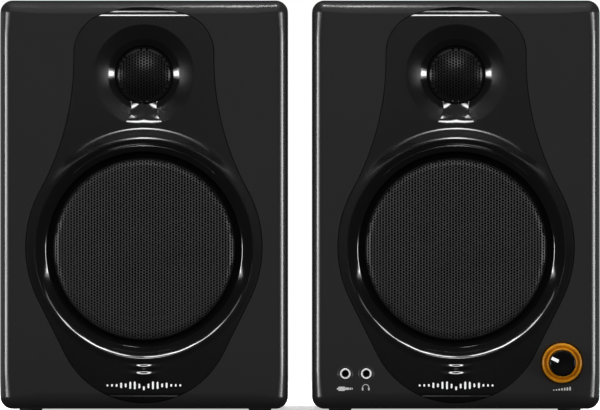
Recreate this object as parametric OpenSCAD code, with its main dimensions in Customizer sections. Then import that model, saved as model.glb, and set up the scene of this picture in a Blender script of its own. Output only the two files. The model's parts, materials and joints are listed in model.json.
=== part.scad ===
// A pair of powered desktop speakers: a passive left cabinet and an active right cabinet that holds the
// amplifier, the volume knob and the sockets. Millimetres, +Z up, the fronts face -Y.
// The origin is on the desk, in the middle of the pair's bounding box.
// Each speaker is modelled in its own frame: x from its centre line, y back from its face, z up from
// its base.

/* [Pair] */
// Clear space between the two cabinets
pair_gap = 13.5; // [6:0.5:60]

/* [Cabinet] */
// Width of each moulded front
body_w = 162; // [160:1:174]
// Height of each moulded front, without the feet
body_h = 230; // [230:1:240]
// Depth of each speaker, from its face to its back panel
body_d = 180; // [165:1:220]
// Gap between the desk and the moulded front
foot_h = 3; // [2:0.5:6]
// Thickness of the cabinet's wooden walls
wall_t = 9; // [8:0.5:10]

/* [Front] */
// Height of the woofer's centre above the base
woofer_z = 90; // [89.5:0.5:91]
// Height of the tweeter's centre above the base
tweeter_z = 188; // [187:0.5:189]
// Clearance all round the gloss inlay
inlay_gap = 0.25; // [0.15:0.05:0.4]

/* [Controls] */
// How far the volume knob stands out of the face
knob_proud = 12; // [10:0.5:16]
// Radius of the volume knob
knob_r = 7.3; // [6.8:0.1:7.4]

/* [Hidden] */
$fn = 64;

LEFT = -1;
RIGHT = 1;
centre_x = (body_w + pair_gap) / 2;
rear_proud = 10;
face_y = -(body_d + rear_proud - knob_proud) / 2;

// Moulded front
baffle_d = 24;
front_t = 4;
corner_r = 7;
side_edge_r = 6;
top_edge_r = 8.5;
ledge_t = 3;

// Cabinet and back panel
cabinet_inset = 1;
cabinet_r = 6;
outer_w = body_w - 2 * cabinet_inset;
outer_h = body_h - 2 * cabinet_inset;
inner_w = outer_w - 2 * wall_t;
inner_h = outer_h - 2 * wall_t;
batten_w = 10;
batten_d = 12;
back_t = 9;
back_fit = 0.2;
batten_y = body_d - back_t - batten_d;
cleat = [12, 20, 20];
cleat_end = baffle_d + cleat[1];
middle = [0, body_h / 2];
screw_r = 1.5;
screw_bite_r = 1.6;
screw_clear_r = 1.7;
screw_head_r = 3;
screw_head_t = 1.8;
baffle_screw_x = inner_w / 2 - 5;
baffle_screw_z = [42, body_h - 18];
back_screw_x = inner_w / 2 - 5;
back_screw_z = [15, 82, 148, body_h - 15];

// Outline of the gloss inlay: a rounded head, a flared neck, a bulb around the woofer and a round chin
head_top = body_h - 4.2;
bulb = [0, woofer_z + 1.2];
bulb_r = 66.3;
chin = [0, bulb[1] - 38.2];
chin_r = 49.3;
neck_angle = 28.8;
neck_r = 153;
neck = bulb + (bulb_r + neck_r) * [cos(neck_angle), sin(neck_angle)];
shoulder_r = 22.8;
shoulder_z = head_top - 25.6;
shoulder = [neck[0] - sqrt(pow(shoulder_r + neck_r, 2) - pow(neck[1] - shoulder_z, 2)), shoulder_z];
crown_reach = head_top - shoulder_r;
crown_z = (pow(crown_reach, 2) - pow(shoulder[0], 2) - pow(shoulder_z, 2)) / (2 * (crown_reach - shoulder_z));
crown = [0, crown_z];
crown_r = head_top - crown_z;

// Woofer and its opening; depths are measured back from the face
woofer_open_r = 54.6;
woofer_seat_r = 50;
woofer_seat_y = 6.5;
woofer_flange_y = 9;
woofer_flange_r = 57;
woofer_screw_r = 60.5;
grille_r = 51.2;
grille_y = 2;
grille_t = 0.8;
cone_edge_y = 10.2;
former_r = 12.9;
spider_y = 36.9;
plate_y = 42;
magnet_y = 47;
yoke_y = 60;
yoke_end_y = 65;

// Tweeter and its dish
dish_r = 28.4;
dish_knee_r = 20;
dish_knee_y = 1.95;
throat_r = 16.8;
throat_y = 3.8;
tweeter_back_y = 7;
dome_grille_r = 16;
dome_grille_sag = 5.2;
dome_grille_base_y = 4.2;
dome_r = 10;
tweeter_screw_r = 21;

// Screws that hold the two drivers to the back of the inlay
woofer_screws = [for (a = [45:90:315]) [0, woofer_z] + woofer_screw_r * [cos(a), sin(a)]];
tweeter_screws = [for (a = [90:120:330]) [0, tweeter_z] + tweeter_screw_r * [cos(a), sin(a)]];

// Bass port
port_z = body_h - 55;
port_r = 15.5;
port_wall = 1.8;
port_length = 80;
port_flange_r = 26;
port_flange_t = 2;

// Controls on the active speaker's front
knob_pos = [59.5, 26];
shaft_r = 3;
shaft_tip_y = 3 - knob_proud;
jack_pos = [[-62.3, 20], [-50.5, 20]];
jack_bore_r = 1.8;
jack_ring_r = 3;
jack_ring_y = -0.4;
jack_bore_end = 14;
board_y = 20;
board_t = 1.6;

// Amplifier plate on the active speaker's back
amp_plate_size = [124, 116];
amp_plate_z = 70;
amp_plate_t = 2;
amp_cutout = [106, 98];
amp_screw_x = 58;
amp_screw_z = [16, 70, 124];
plate_face_y = body_d + amp_plate_t;
inlet_pos = [-38, 34];
switch_pos = [-38, 66];
rocker_pin_r = 1;
usb_pos = [-36, 100];
usb_size = [12, 11];
line_pos = [[14, 102], [34, 102]];
amp_terminal_pos = [22, 54];
cup_z = 62;

// Spring terminals
cup_size = [52, 36];
cup_body = [46, 30];
cup_depth = 14;
cup_flange_t = 2;
lever_x = 11;
lever_w = 15;
lever_play = 0.3;
lever_pivot_y = -5;
lever_pin_r = 1.2;
running_gap = 0.06;
wire_z = -11;
wire_r = 1.7;

function arc(centre, r, from, to, n) =
    [for (i = [0:n]) let (a = from + (to - from) * i / n) centre + r * [cos(a), sin(a)]];

function angle(from, to) = atan2(to[1] - from[1], to[0] - from[0]);

function mirrored(half) = concat(half, [for (i = [len(half) - 2:-1:1]) [-half[i][0], half[i][1]]]);

function rounded_rect(w, h, r, n = 5) = concat(
    arc([w / 2 - r, h / 2 - r], r, 0, 90, n), arc([r - w / 2, h / 2 - r], r, 90, 180, n),
    arc([r - w / 2, r - h / 2], r, 180, 270, n), arc([w / 2 - r, r - h / 2], r, 270, 360, n));

// A side view of the front, as (depth, height), with both of its front edges rounded
function front_profile(height, depth, r) = concat(
    [[depth, 0]], arc([r, r], r, 270, 180, 8), arc([r, height - r], r, 180, 90, 8), [[depth, height]]);

// The inlay's outline grown by g. Every arc keeps its centre, so the arcs stay tangent.
function inlay(g) = let (
        crown_end = angle(crown, shoulder),
        shoulder_end = angle(shoulder, neck),
        bulb_end = -asin((bulb_r - chin_r) / (bulb[1] - chin[1])))
    mirrored(concat(
        arc(crown, crown_r + g, 90, crown_end, 4),
        arc(shoulder, shoulder_r + g, crown_end, shoulder_end, 6),
        arc(neck, neck_r - g, 180 + shoulder_end, 180 + neck_angle, 8),
        arc(bulb, bulb_r + g, neck_angle, bulb_end, 9),
        arc(chin, chin_r + g, bulb_end, -90, 8)));

// A half section of a shallow spherical shell whose rim is at radius rim and depth base, and whose
// crown stands sag in front of it. It runs over the outside to the crown and back along the inside.
function dome_shell(rim, sag, thick, base) = let (
        ball_r = (rim * rim + sag * sag) / (2 * sag),
        ball = [0, base - sag + ball_r],
        inner_rim = acos((ball_r - sag) / (ball_r - thick)))
    concat(arc(ball, ball_r, angle(ball, [rim, base]), -90, 10),
        arc(ball, ball_r - thick, -90, inner_rim - 90, 10));

module speaker(side) { translate([side * centre_x, face_y, foot_h]) children(); }

// A flat outline in x and z, as thick as from depth y0 to depth y1
module slab(y0, y1) { translate([0, y1, 0]) rotate([90, 0, 0]) linear_extrude(y1 - y0) children(); }

// An outline in radius and depth, turned about a front-to-back axis at [x, z]
module turned(at, sides = 96) {
    translate([at[0], 0, at[1]]) rotate([-90, 0, 0]) rotate_extrude($fn = sides) children();
}

// A round bar along the front-to-back axis, from depth y0 to depth y1
module bar(at, r, y0, y1, sides = 32) {
    translate([at[0], y0, at[1]]) rotate([-90, 0, 0]) cylinder(r = r, h = y1 - y0, $fn = sides);
}

// A box centred on at, in x and z, from depth y0 to depth y1
module block(at, size, y0, y1) {
    translate([at[0] - size[0] / 2, y0, at[1] - size[1] / 2]) cube([size[0], y1 - y0, size[1]]);
}

// A screw driven forwards: its head's underside is at depth head_y and its point at depth tip_y
module pan_screw(at, head_y, tip_y) {
    bar(at, screw_r, tip_y, head_y, 24);
    bar(at, screw_head_r, head_y, head_y + screw_head_t, 24);
}

// The moulded front's outer form, rounded on every front edge
module front_form(depth) {
    intersection() {
        slab(0, depth) translate(middle) polygon(rounded_rect(body_w, body_h, corner_r));
        translate([-body_w / 2 - 1, 0, 0]) rotate([90, 0, 90]) linear_extrude(body_w + 2)
            polygon(front_profile(body_h, depth, top_edge_r));
        translate([0, 0, -1]) linear_extrude(body_h + 2)
            polygon([for (p = front_profile(body_w, depth, side_edge_r)) [p[1] - body_w / 2, p[0]]]);
    }
}

module cabinet() {
    color("#1c1c1d") difference() {
        union() {
            difference() {
                slab(baffle_d, body_d) translate(middle) polygon(rounded_rect(outer_w, outer_h, cabinet_r));
                block(middle, [inner_w, inner_h], baffle_d - 1, body_d + 1);
            }
            difference() {
                block(middle, [inner_w + 2, inner_h + 2], batten_y, body_d - back_t);
                block(middle, [inner_w - 2 * batten_w, inner_h - 2 * batten_w], baffle_d, body_d);
            }
            for (x = [-1, 1], z = baffle_screw_z)
                block([x * (inner_w - cleat[0] + 1) / 2, z], [cleat[0] + 1, cleat[2]], baffle_d, cleat_end);
        }
        for (x = [-1, 1], z = baffle_screw_z)
            bar([x * baffle_screw_x, z], screw_clear_r, baffle_d - 1, cleat_end + 1);
        for (x = [-1, 1], z = back_screw_z)
            bar([x * back_screw_x, z], screw_bite_r, batten_y + 2, body_d);
    }
}

module back_panel(cutout, cutout_z) {
    color("#202021") difference() {
        block(middle, [inner_w - 2 * back_fit, inner_h - 2 * back_fit], body_d - back_t, body_d);
        bar([0, port_z], port_r + port_wall + 0.2, body_d - back_t - 1, body_d + 1, 64);
        block([cutout[2], cutout_z], cutout, body_d - back_t - 1, body_d + 1);
        for (x = [-1, 1], z = back_screw_z)
            bar([x * back_screw_x, z], screw_clear_r, body_d - back_t - 1, body_d + 1);
        for (x = [-1, 1], z = amp_screw_z)
            if (cutout[0] > cup_size[0]) bar([x * amp_screw_x, z], screw_bite_r, body_d - 6, body_d + 1);
    }
}

module front_baffle(controls) {
    color("#2b2b2c") difference() {
        union() {
            difference() {
                front_form(baffle_d);
                block(middle, [body_w - 10, body_h - 12], front_t, baffle_d + 1);
            }
            intersection() {
                front_form(baffle_d);
                slab(front_t - 0.5, front_t + ledge_t) polygon(inlay(5));
            }
            for (x = [-1, 1], z = baffle_screw_z) bar([x * baffle_screw_x, z], 4, front_t - 0.5, baffle_d);
        }
        slab(-1, front_t) polygon(inlay(inlay_gap));
        slab(front_t - 1, front_t + ledge_t + 1) polygon(inlay(-4));
        for (x = [-1, 1], z = baffle_screw_z)
            bar([x * baffle_screw_x, z], screw_bite_r, front_t + 4, baffle_d + 1);
        if (controls) {
            turned(knob_pos) polygon([
                [0, -1], [12.9, -1], [12.3, 0.6], [10.8, 0.6], [10.8, front_t + 1], [0, front_t + 1]]);
            for (at = jack_pos) turned(at, 48) polygon([
                [0, -1], [4.9, -1], [4.2, 0.5], [3.1, 0.5], [3.1, front_t + 1], [0, front_t + 1]]);
        }
    }
}

module waveguide_panel() {
    color("#101011") difference() {
        union() {
            intersection() {
                front_form(front_t);
                slab(0, front_t) polygon(inlay(0));
            }
            turned([0, woofer_z]) polygon([
                [woofer_open_r - 1, 0.5], [woofer_open_r - 1, -0.1], [59.6, -0.9], [60.9, -0.5],
                [62.6, -1.2], [64, -0.9], [65.4, 0], [65.4, 0.5]]);
            bar([0, woofer_z], woofer_flange_r, front_t - 0.5, woofer_flange_y, 96);
            for (at = woofer_screws) bar(at, 3.6, front_t - 0.5, woofer_flange_y);
            bar([0, tweeter_z], 30, front_t - 0.5, tweeter_back_y, 96);
        }
        bar([0, woofer_z], woofer_open_r, -3, woofer_seat_y, 96);
        bar([0, woofer_z], woofer_seat_r, -3, woofer_flange_y + 1, 96);
        for (at = woofer_screws) bar(at, screw_bite_r, front_t, woofer_flange_y + 1);
        turned([0, tweeter_z]) polygon([
            [0, -3], [dish_r, -3], [dish_r, 0], [dish_knee_r, dish_knee_y], [throat_r, throat_y],
            [16.5, throat_y], [16.5, 5], [0, 5]]);
        bar([0, tweeter_z], 14.5, 0, tweeter_back_y + 1, 64);
        for (at = tweeter_screws) bar(at, 1.3, tweeter_back_y - 2.2, tweeter_back_y + 1, 24);
    }
}

module woofer_grille() {
    color("#3a3a3b") turned([0, woofer_z]) polygon([
        [0, grille_y], [49, grille_y], [50.6, grille_y + 0.6], [grille_r, grille_y + 2],
        [grille_r, woofer_seat_y], [grille_r - grille_t, woofer_seat_y],
        [grille_r - grille_t, grille_y + 2.2], [50, grille_y + 1.2],
        [48.9, grille_y + grille_t], [0, grille_y + grille_t]]);
}

module tweeter_grille() {
    color("#303031") turned([0, tweeter_z]) polygon(concat(
        dome_shell(dome_grille_r, dome_grille_sag, 0.6, dome_grille_base_y),
        [[15.3, 5], [16.2, 5], [16.2, dome_grille_base_y - 0.3]]));
}

module woofer_basket() {
    color("#2e2f31") difference() {
        union() {
            turned([0, woofer_z]) polygon([
                [50, woofer_flange_y], [woofer_flange_r, woofer_flange_y], [woofer_flange_r, 12], [53, 12],
                [40, 40], [40, plate_y], [16, plate_y], [16, 40.6], [28, 40.6], [28, spider_y],
                [31, spider_y], [31, 40.6], [38.6, 40.6], [51.4, 12.6], [46.5, 12.6],
                [46.5, cone_edge_y], [50, cone_edge_y]]);
            for (at = woofer_screws) bar(at, 5, woofer_flange_y, 12);
        }
        for (at = woofer_screws) bar(at, screw_clear_r, woofer_flange_y - 1, 13);
        for (a = [0:60:300]) translate([0, 0, woofer_z]) rotate([0, a, 0])
            translate([36, 16, -12]) cube([20, 20, 24]);
    }
}

module woofer_surround() {
    roll = [43.25, cone_edge_y - 0.8];
    color("#1a1a1a") turned([0, woofer_z]) polygon(concat(
        [[49.8, cone_edge_y], [49.8, cone_edge_y - 0.8]], arc(roll, 3.25, 0, -180, 12),
        [[38.7, cone_edge_y - 0.8], [38.7, cone_edge_y], [40.7, cone_edge_y]],
        arc(roll, 2.5, -180, 0, 12), [[45.8, cone_edge_y]]));
}

module woofer_cone() {
    color("#2a2a2b") turned([0, woofer_z]) polygon([
        [40.2, cone_edge_y], [40.2, 11.2], [14.1, 29], [former_r, 29], [former_r, 27.4],
        [38.4, cone_edge_y]]);
}

module woofer_dust_cap() {
    color("#232324") turned([0, woofer_z]) polygon(dome_shell(17, 4.5, 0.5, 24.6));
}

module woofer_spider() {
    rings = 5;
    pitch = 2.8;
    start = 14;
    thick = 0.5;
    wave = 1;
    back = [for (i = [0:2 * rings]) [start + i * pitch / 2, spider_y - (i % 2) * wave]];
    front = [for (i = [2 * rings:-1:0]) back[i] - [0, thick]];
    color("#c9a34e") turned([0, woofer_z]) polygon(concat(
        [[former_r, spider_y]], back, [[31, spider_y], [31, spider_y - thick]], front,
        [[former_r, spider_y - thick]]));
}

module woofer_voice_coil() {
    color("#b5713a") turned([0, woofer_z]) polygon([
        [former_r - 0.35, 26.6], [former_r, 26.6], [former_r, 43], [former_r + 0.6, 43], [former_r + 0.6, 52],
        [former_r - 0.35, 52]]);
}

module woofer_magnet() {
    color("#3c3c3e") turned([0, woofer_z])
        polygon([[19, magnet_y], [40, magnet_y], [40, yoke_y], [19, yoke_y]]);
}

module woofer_yoke() {
    color("#8f9294") {
        turned([0, woofer_z]) polygon([[14.2, plate_y], [36, plate_y], [36, magnet_y], [14.2, magnet_y]]);
        turned([0, woofer_z]) polygon([
            [4, plate_y + 1], [12.1, plate_y + 1], [12.1, yoke_y], [36, yoke_y],
            [36, yoke_end_y], [4, yoke_end_y]]);
    }
}

module tweeter_dome() {
    color("#26262a") turned([0, tweeter_z]) polygon(concat(
        [[12.2, 8.5], [12.2, 8.2], [dome_r + 0.4, 7.6]],
        arc([0, 16.5], 13.4, -42, -90, 8), arc([0, 16.5], 13.1, -90, -42, 8),
        [[dome_r - 0.25, 8.4], [dome_r - 0.25, 15], [dome_r + 0.1, 15], [dome_r + 0.1, 8.4]]));
}

module tweeter_motor() {
    color("#4a4b4d") difference() {
        turned([0, tweeter_z]) polygon([
            [13.2, tweeter_back_y], [24, tweeter_back_y], [24, 9.5], [17, 9.5], [17, 24], [0, 24], [0, 10.5],
            [9.2, 10.5], [9.2, 18], [10.9, 18], [10.9, 9.8], [13.2, 9.8]]);
        for (at = tweeter_screws) bar(at, 1.5, tweeter_back_y - 1, 10, 24);
    }
}

module port_tube() {
    inner_end = body_d - port_length;
    flange_y = body_d + port_flange_t;
    color("#19191a") turned([0, port_z]) polygon([
        [port_r, inner_end], [port_r + port_wall, inner_end], [port_r + port_wall, body_d],
        [port_flange_r, body_d], [port_flange_r, flange_y - 0.6], [port_flange_r - 1, flange_y],
        [port_r + 3.5, flange_y], [port_r + 1, flange_y - 1.2], [port_r, flange_y - 4]]);
}

module feet() {
    color("#121212") for (x = [-1, 1], y = [38, body_d - 16])
        translate([x * (outer_w / 2 - 15), y, -foot_h])
            cylinder(r1 = 6, r2 = 7, h = foot_h + cabinet_inset, $fn = 48);
}

module screws(rear) {
    color("#6f7173") {
        for (x = [-1, 1], z = back_screw_z) pan_screw([x * back_screw_x, z], body_d, body_d - 17);
        for (x = [-1, 1], z = baffle_screw_z)
            pan_screw([x * baffle_screw_x, z], cleat_end, baffle_d - 14);
        for (at = woofer_screws) pan_screw(at, 12, 4.6);
        for (at = tweeter_screws) {
            bar(at, 1.2, 5.2, 9.5, 24);
            bar(at, 2.4, 9.5, 11, 24);
        }
        if (rear) for (x = [-1, 1], z = amp_screw_z)
            pan_screw([x * amp_screw_x, z], plate_face_y, body_d - 5);
    }
}

// The spring terminal's moulding, centred on at, on a panel whose outer face is at depth face
module terminal_cup(at, face) {
    pocket_w = lever_w + 2 * lever_play;
    color("#17171a") translate([at[0], face, at[1]]) difference() {
        union() {
            block([0, 0], cup_size, 0, cup_flange_t);
            block([0, 0], cup_body, -cup_depth, 0.5);
        }
        for (x = [-1, 1]) {
            block([x * lever_x, 1.2], [pocket_w, 14.4], -11, cup_flange_t + 1);
            translate([x * lever_x - pocket_w / 2 - 2.4, lever_pivot_y, 0]) rotate([0, 90, 0])
                cylinder(r = lever_pin_r + running_gap, h = pocket_w + 4.8, $fn = 32);
            bar([x * lever_x, wire_z], wire_r, -10, cup_flange_t + 1);
        }
    }
}

module terminal_lever(at, face, x, tint) {
    color(tint) translate([at[0] + x * lever_x, face + lever_pivot_y, at[1]]) union() {
        translate([-lever_w / 2, 0, 0]) rotate([90, 0, 90]) linear_extrude(lever_w)
            polygon([[-3, -4], [3, -4], [11, 1], [11, 7], [4, 7], [-3, 4]]);
        translate([-lever_w / 2 - 2, 0, 0]) rotate([0, 90, 0])
            cylinder(r = lever_pin_r, h = lever_w + 4, $fn = 32);
    }
}

module crossover() {
    board_z = 112;
    board_face = body_d - back_t - 8;
    color("#1f5a36") block([0, board_z], [64, 42], board_face, board_face + board_t);
    color("#b5713a") turned([-18, board_z]) polygon([
        [5, board_face - 12], [11, board_face - 12], [11, board_face], [5, board_face]]);
    color("#3b3f77") for (z = [-9, 9]) bar([6, board_z + z], 6, board_face - 16, board_face);
    color("#d8d2c0") block([23, board_z], [8, 26], board_face - 8, board_face);
    color("#6f7173") for (x = [-28, 28], z = [-17, 17])
        bar([x, board_z + z], 2.5, board_face + board_t, body_d - back_t, 24);
}

module volume_knob() {
    color("#0d0d0e") difference() {
        turned(knob_pos, 64) polygon([
            [0, -knob_proud], [knob_r - 0.9, -knob_proud], [knob_r - 0.2, 0.8 - knob_proud],
            [knob_r, 0.5], [0, 0.5]]);
        bar(knob_pos, shaft_r, shaft_tip_y, 1);
    }
}

module knob_ring() {
    color("#f39a12") turned(knob_pos) polygon([
        [7.7, 5], [7.7, -2.6], [8.3, -3.2], [9.1, -2.4], [9.9, -3], [10.9, -2.8], [11.6, -1.8], [11.6, 0.6],
        [10.6, 0.6], [10.6, 5]]);
}

module volume_pot() {
    color("#9a9c9e") difference() {
        union() {
            bar(knob_pos, 3.6, 6, 12);
            bar(knob_pos, 8.5, 12, board_y, 48);
        }
        bar(knob_pos, shaft_r + running_gap, 5, 15);
    }
}

module pot_shaft() { color("#c4c6c8") bar(knob_pos, shaft_r, shaft_tip_y, 14.5); }

module front_board() {
    color("#1f5a36") block([0, 21], [inner_w, 20], board_y, board_y + board_t);
}

module front_jacks() {
    color("#151516") for (at = jack_pos) difference() {
        union() {
            bar(at, 2.95, 1.5, 6);
            block(at, [8, 8], 5, board_y);
        }
        bar(at, jack_bore_r, 0, jack_bore_end);
    }
}

module jack_rings() {
    color("#dfe1e3") for (at = jack_pos) turned(at, 48) polygon([
        [jack_bore_r, jack_ring_y], [jack_ring_r - 0.3, jack_ring_y], [jack_ring_r, jack_ring_y + 0.3],
        [jack_ring_r, 1.5], [jack_bore_r, 1.5]]);
}

module amp_plate() {
    color("#2a2b2d") difference() {
        block([0, amp_plate_z], amp_plate_size, body_d, plate_face_y);
        for (x = [-1, 1], z = amp_screw_z) bar([x * amp_screw_x, z], 1.7, body_d - 1, plate_face_y + 1);
        block(inlet_pos, [20.4, 14.4], body_d - 1, plate_face_y + 1);
        block(switch_pos, [14.4, 20.4], body_d - 1, plate_face_y + 1);
        block(usb_pos, usb_size, body_d - 1, plate_face_y + 1);
        block(amp_terminal_pos, cup_body + [0.4, 0.4], body_d - 1, plate_face_y + 1);
        for (at = line_pos) bar(at, 4.7, body_d - 1, plate_face_y + 1);
    }
}

module amp_board() {
    board_face = 140;
    color("#1f5a36") block([0, amp_plate_z], [98, 84], board_face, board_face + board_t);
    color("#b8babc") for (at = [[-46, 48], [46, 32], [-46, 108], [46, 108]])
        bar(at, 2.5, board_face + board_t, body_d, 24);
    color("#2b2f57") for (x = [-20, 4]) bar([x, 88], 8, board_face - 22, board_face);
    color("#a9acae") block([28, 60], [22, 36], board_face - 16, board_face);
    color("#141415") for (x = [-34, -22, -10]) block([x, 56], [8, 14], board_face - 5, board_face);
}

module transformer() {
    floor_z = cabinet_inset + wall_t;
    color("#76787a") for (z = [5, 25]) block([-34, floor_z + z], [50, 10], 70, 110);
    color("#a8642c") block([-34, floor_z + 15], [44, 10], 66, 114);
}

module power_inlet() {
    color("#141416") translate([inlet_pos[0], plate_face_y, inlet_pos[1]]) {
        difference() {
            union() {
                block([0, 0], [26, 18], 0, 1.5);
                block([0, 0], [20, 14], -16, 0.5);
            }
            block([0, 0], [15.6, 8.4], -12, 2);
        }
        for (x = [-5.4, 5.4]) bar([x, 0], 1.15, -12, -1, 24);
    }
}

module power_switch() {
    color("#17171a") translate([switch_pos[0], plate_face_y, switch_pos[1]]) difference() {
        union() {
            block([0, 0], [16, 22], 0, 1.5);
            block([0, 0], [14, 20], -14, 0.5);
        }
        block([0, 0], [11.6, 17.8], -9, 2);
        translate([-6.6, -1, 0]) rotate([0, 90, 0])
            cylinder(r = rocker_pin_r + running_gap, h = 13.2, $fn = 32);
    }
}

// The rocker, tilted to its on position
module power_rocker() {
    color("#0e0e10") translate([switch_pos[0], plate_face_y - 1, switch_pos[1]]) rotate([-8, 0, 0]) {
        translate([-5.5, 0, 0]) rotate([90, 0, 90]) linear_extrude(11)
            polygon([[-5, -4], [-5, 4], [0, 8], [4, 8], [2.6, 0], [4, -8], [0, -8]]);
        translate([-6.4, 0, 0]) rotate([0, 90, 0]) cylinder(r = rocker_pin_r, h = 12.8, $fn = 32);
    }
}

module usb_port() {
    color("#b9bbbd") translate([usb_pos[0], plate_face_y, usb_pos[1]]) {
        difference() {
            block([0, 0], usb_size, -15, 1);
            block([0, 0], [8.6, 7.9], -11, 2);
        }
        block([0, 0], [5.6, 3.2], -11, -1);
    }
}

module line_inputs() {
    color("#d8dadc") for (at = line_pos) difference() {
        union() {
            bar(at, 5.6, plate_face_y, plate_face_y + 1.2, 48);
            bar(at, 4.15, plate_face_y - 8, plate_face_y + 8, 48);
        }
        bar(at, 1.6, plate_face_y, plate_face_y + 9);
    }
}

cup_at = [0, cup_z];
amp_hole = [amp_cutout[0], amp_cutout[1], 0];
cup_hole = [cup_body[0] + 0.4, cup_body[1] + 0.4, 0];

speaker(LEFT) cabinet();  // left_cabinet
speaker(LEFT) back_panel(cup_hole, cup_z);  // left_back_panel
speaker(LEFT) front_baffle(false);  // left_front_baffle
speaker(LEFT) waveguide_panel();  // left_waveguide_panel
speaker(LEFT) woofer_grille();  // left_woofer_grille
speaker(LEFT) tweeter_grille();  // left_tweeter_grille
speaker(LEFT) woofer_basket();  // left_woofer_basket
speaker(LEFT) woofer_surround();  // left_woofer_surround
speaker(LEFT) woofer_cone();  // left_woofer_cone
speaker(LEFT) woofer_dust_cap();  // left_woofer_dust_cap
speaker(LEFT) woofer_spider();  // left_woofer_spider
speaker(LEFT) woofer_voice_coil();  // left_woofer_voice_coil
speaker(LEFT) woofer_magnet();  // left_woofer_magnet
speaker(LEFT) woofer_yoke();  // left_woofer_yoke
speaker(LEFT) tweeter_dome();  // left_tweeter_dome
speaker(LEFT) tweeter_motor();  // left_tweeter_motor
speaker(LEFT) port_tube();  // left_port_tube
speaker(LEFT) feet();  // left_feet
speaker(LEFT) screws(false);  // left_screws
speaker(LEFT) terminal_cup(cup_at, body_d);  // left_terminal_cup
speaker(LEFT) terminal_lever(cup_at, body_d, -1, "#b3161b");  // left_red_lever
speaker(LEFT) terminal_lever(cup_at, body_d, 1, "#161616");  // left_black_lever
speaker(LEFT) crossover();  // left_crossover
speaker(RIGHT) cabinet();  // right_cabinet
speaker(RIGHT) back_panel(amp_hole, amp_plate_z);  // right_back_panel
speaker(RIGHT) front_baffle(true);  // right_front_baffle
speaker(RIGHT) waveguide_panel();  // right_waveguide_panel
speaker(RIGHT) woofer_grille();  // right_woofer_grille
speaker(RIGHT) tweeter_grille();  // right_tweeter_grille
speaker(RIGHT) woofer_basket();  // right_woofer_basket
speaker(RIGHT) woofer_surround();  // right_woofer_surround
speaker(RIGHT) woofer_cone();  // right_woofer_cone
speaker(RIGHT) woofer_dust_cap();  // right_woofer_dust_cap
speaker(RIGHT) woofer_spider();  // right_woofer_spider
speaker(RIGHT) woofer_voice_coil();  // right_woofer_voice_coil
speaker(RIGHT) woofer_magnet();  // right_woofer_magnet
speaker(RIGHT) woofer_yoke();  // right_woofer_yoke
speaker(RIGHT) tweeter_dome();  // right_tweeter_dome
speaker(RIGHT) tweeter_motor();  // right_tweeter_motor
speaker(RIGHT) port_tube();  // right_port_tube
speaker(RIGHT) feet();  // right_feet
speaker(RIGHT) screws(true);  // right_screws
speaker(RIGHT) terminal_cup(amp_terminal_pos, plate_face_y);  // right_terminal_cup
speaker(RIGHT) terminal_lever(amp_terminal_pos, plate_face_y, -1, "#b3161b");  // right_red_lever
speaker(RIGHT) terminal_lever(amp_terminal_pos, plate_face_y, 1, "#161616");  // right_black_lever
speaker(RIGHT) volume_knob();
speaker(RIGHT) knob_ring();
speaker(RIGHT) volume_pot();
speaker(RIGHT) pot_shaft();
speaker(RIGHT) front_board();
speaker(RIGHT) front_jacks();
speaker(RIGHT) jack_rings();
speaker(RIGHT) amp_plate();
speaker(RIGHT) amp_board();
speaker(RIGHT) transformer();
speaker(RIGHT) power_inlet();
speaker(RIGHT) power_switch();
speaker(RIGHT) power_rocker();
speaker(RIGHT) usb_port();
speaker(RIGHT) line_inputs();
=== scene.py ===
"""The looks of a pair of powered desktop speakers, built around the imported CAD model.

Every speaker part is drawn in its own speaker's frame, in millimetres: x from the centre line, y back
from the face and z up from the base. place() turns that into metres in the shared frame.
"""

import json
import math

import bmesh
import bpy
import numpy as np
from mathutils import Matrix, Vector
from mathutils.geometry import delaunay_2d_cdt

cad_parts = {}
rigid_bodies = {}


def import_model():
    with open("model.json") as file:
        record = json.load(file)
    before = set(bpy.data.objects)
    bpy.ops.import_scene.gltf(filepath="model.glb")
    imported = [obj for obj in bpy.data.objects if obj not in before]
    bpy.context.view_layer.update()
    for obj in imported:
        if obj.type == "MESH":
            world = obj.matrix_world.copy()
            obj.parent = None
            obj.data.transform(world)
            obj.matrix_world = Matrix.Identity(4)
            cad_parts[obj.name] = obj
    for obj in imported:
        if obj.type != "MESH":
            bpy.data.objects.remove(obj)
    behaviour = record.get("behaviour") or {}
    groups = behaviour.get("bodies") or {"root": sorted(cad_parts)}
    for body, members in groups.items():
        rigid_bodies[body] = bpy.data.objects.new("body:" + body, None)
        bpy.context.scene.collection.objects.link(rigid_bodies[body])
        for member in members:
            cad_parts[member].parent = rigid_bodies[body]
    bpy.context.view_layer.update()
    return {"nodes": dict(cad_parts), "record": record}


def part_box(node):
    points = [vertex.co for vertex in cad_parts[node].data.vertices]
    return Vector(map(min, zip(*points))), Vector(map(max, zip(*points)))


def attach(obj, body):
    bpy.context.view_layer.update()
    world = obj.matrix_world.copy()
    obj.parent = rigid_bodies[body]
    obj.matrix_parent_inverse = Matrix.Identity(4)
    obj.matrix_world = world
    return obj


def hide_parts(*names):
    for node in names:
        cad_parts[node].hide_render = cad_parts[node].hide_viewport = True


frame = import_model()
nodes = frame["nodes"]
MM = 0.001
SIDES = ("left", "right")
BODY = {"left": "passive_speaker", "right": "active_speaker"}
SLOT_OF = {s["node"]: s["material_slot"] for s in frame["record"]["subparts"]}


# ---- measures taken from the frame

def local_box(node, side):
    """A CAD node's box in its speaker's frame, in millimetres: ((x, y, z) low, (x, y, z) high)."""
    lo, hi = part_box(node)
    return (lo - ORIGIN[side]) / MM, (hi - ORIGIN[side]) / MM


def speaker_origin(side):
    lo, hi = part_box(side + "_front_baffle")
    return Vector(((lo.x + hi.x) / 2, lo.y, lo.z))


def centre_of(node, side):
    lo, hi = local_box(node, side)
    return (lo + hi) / 2


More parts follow.
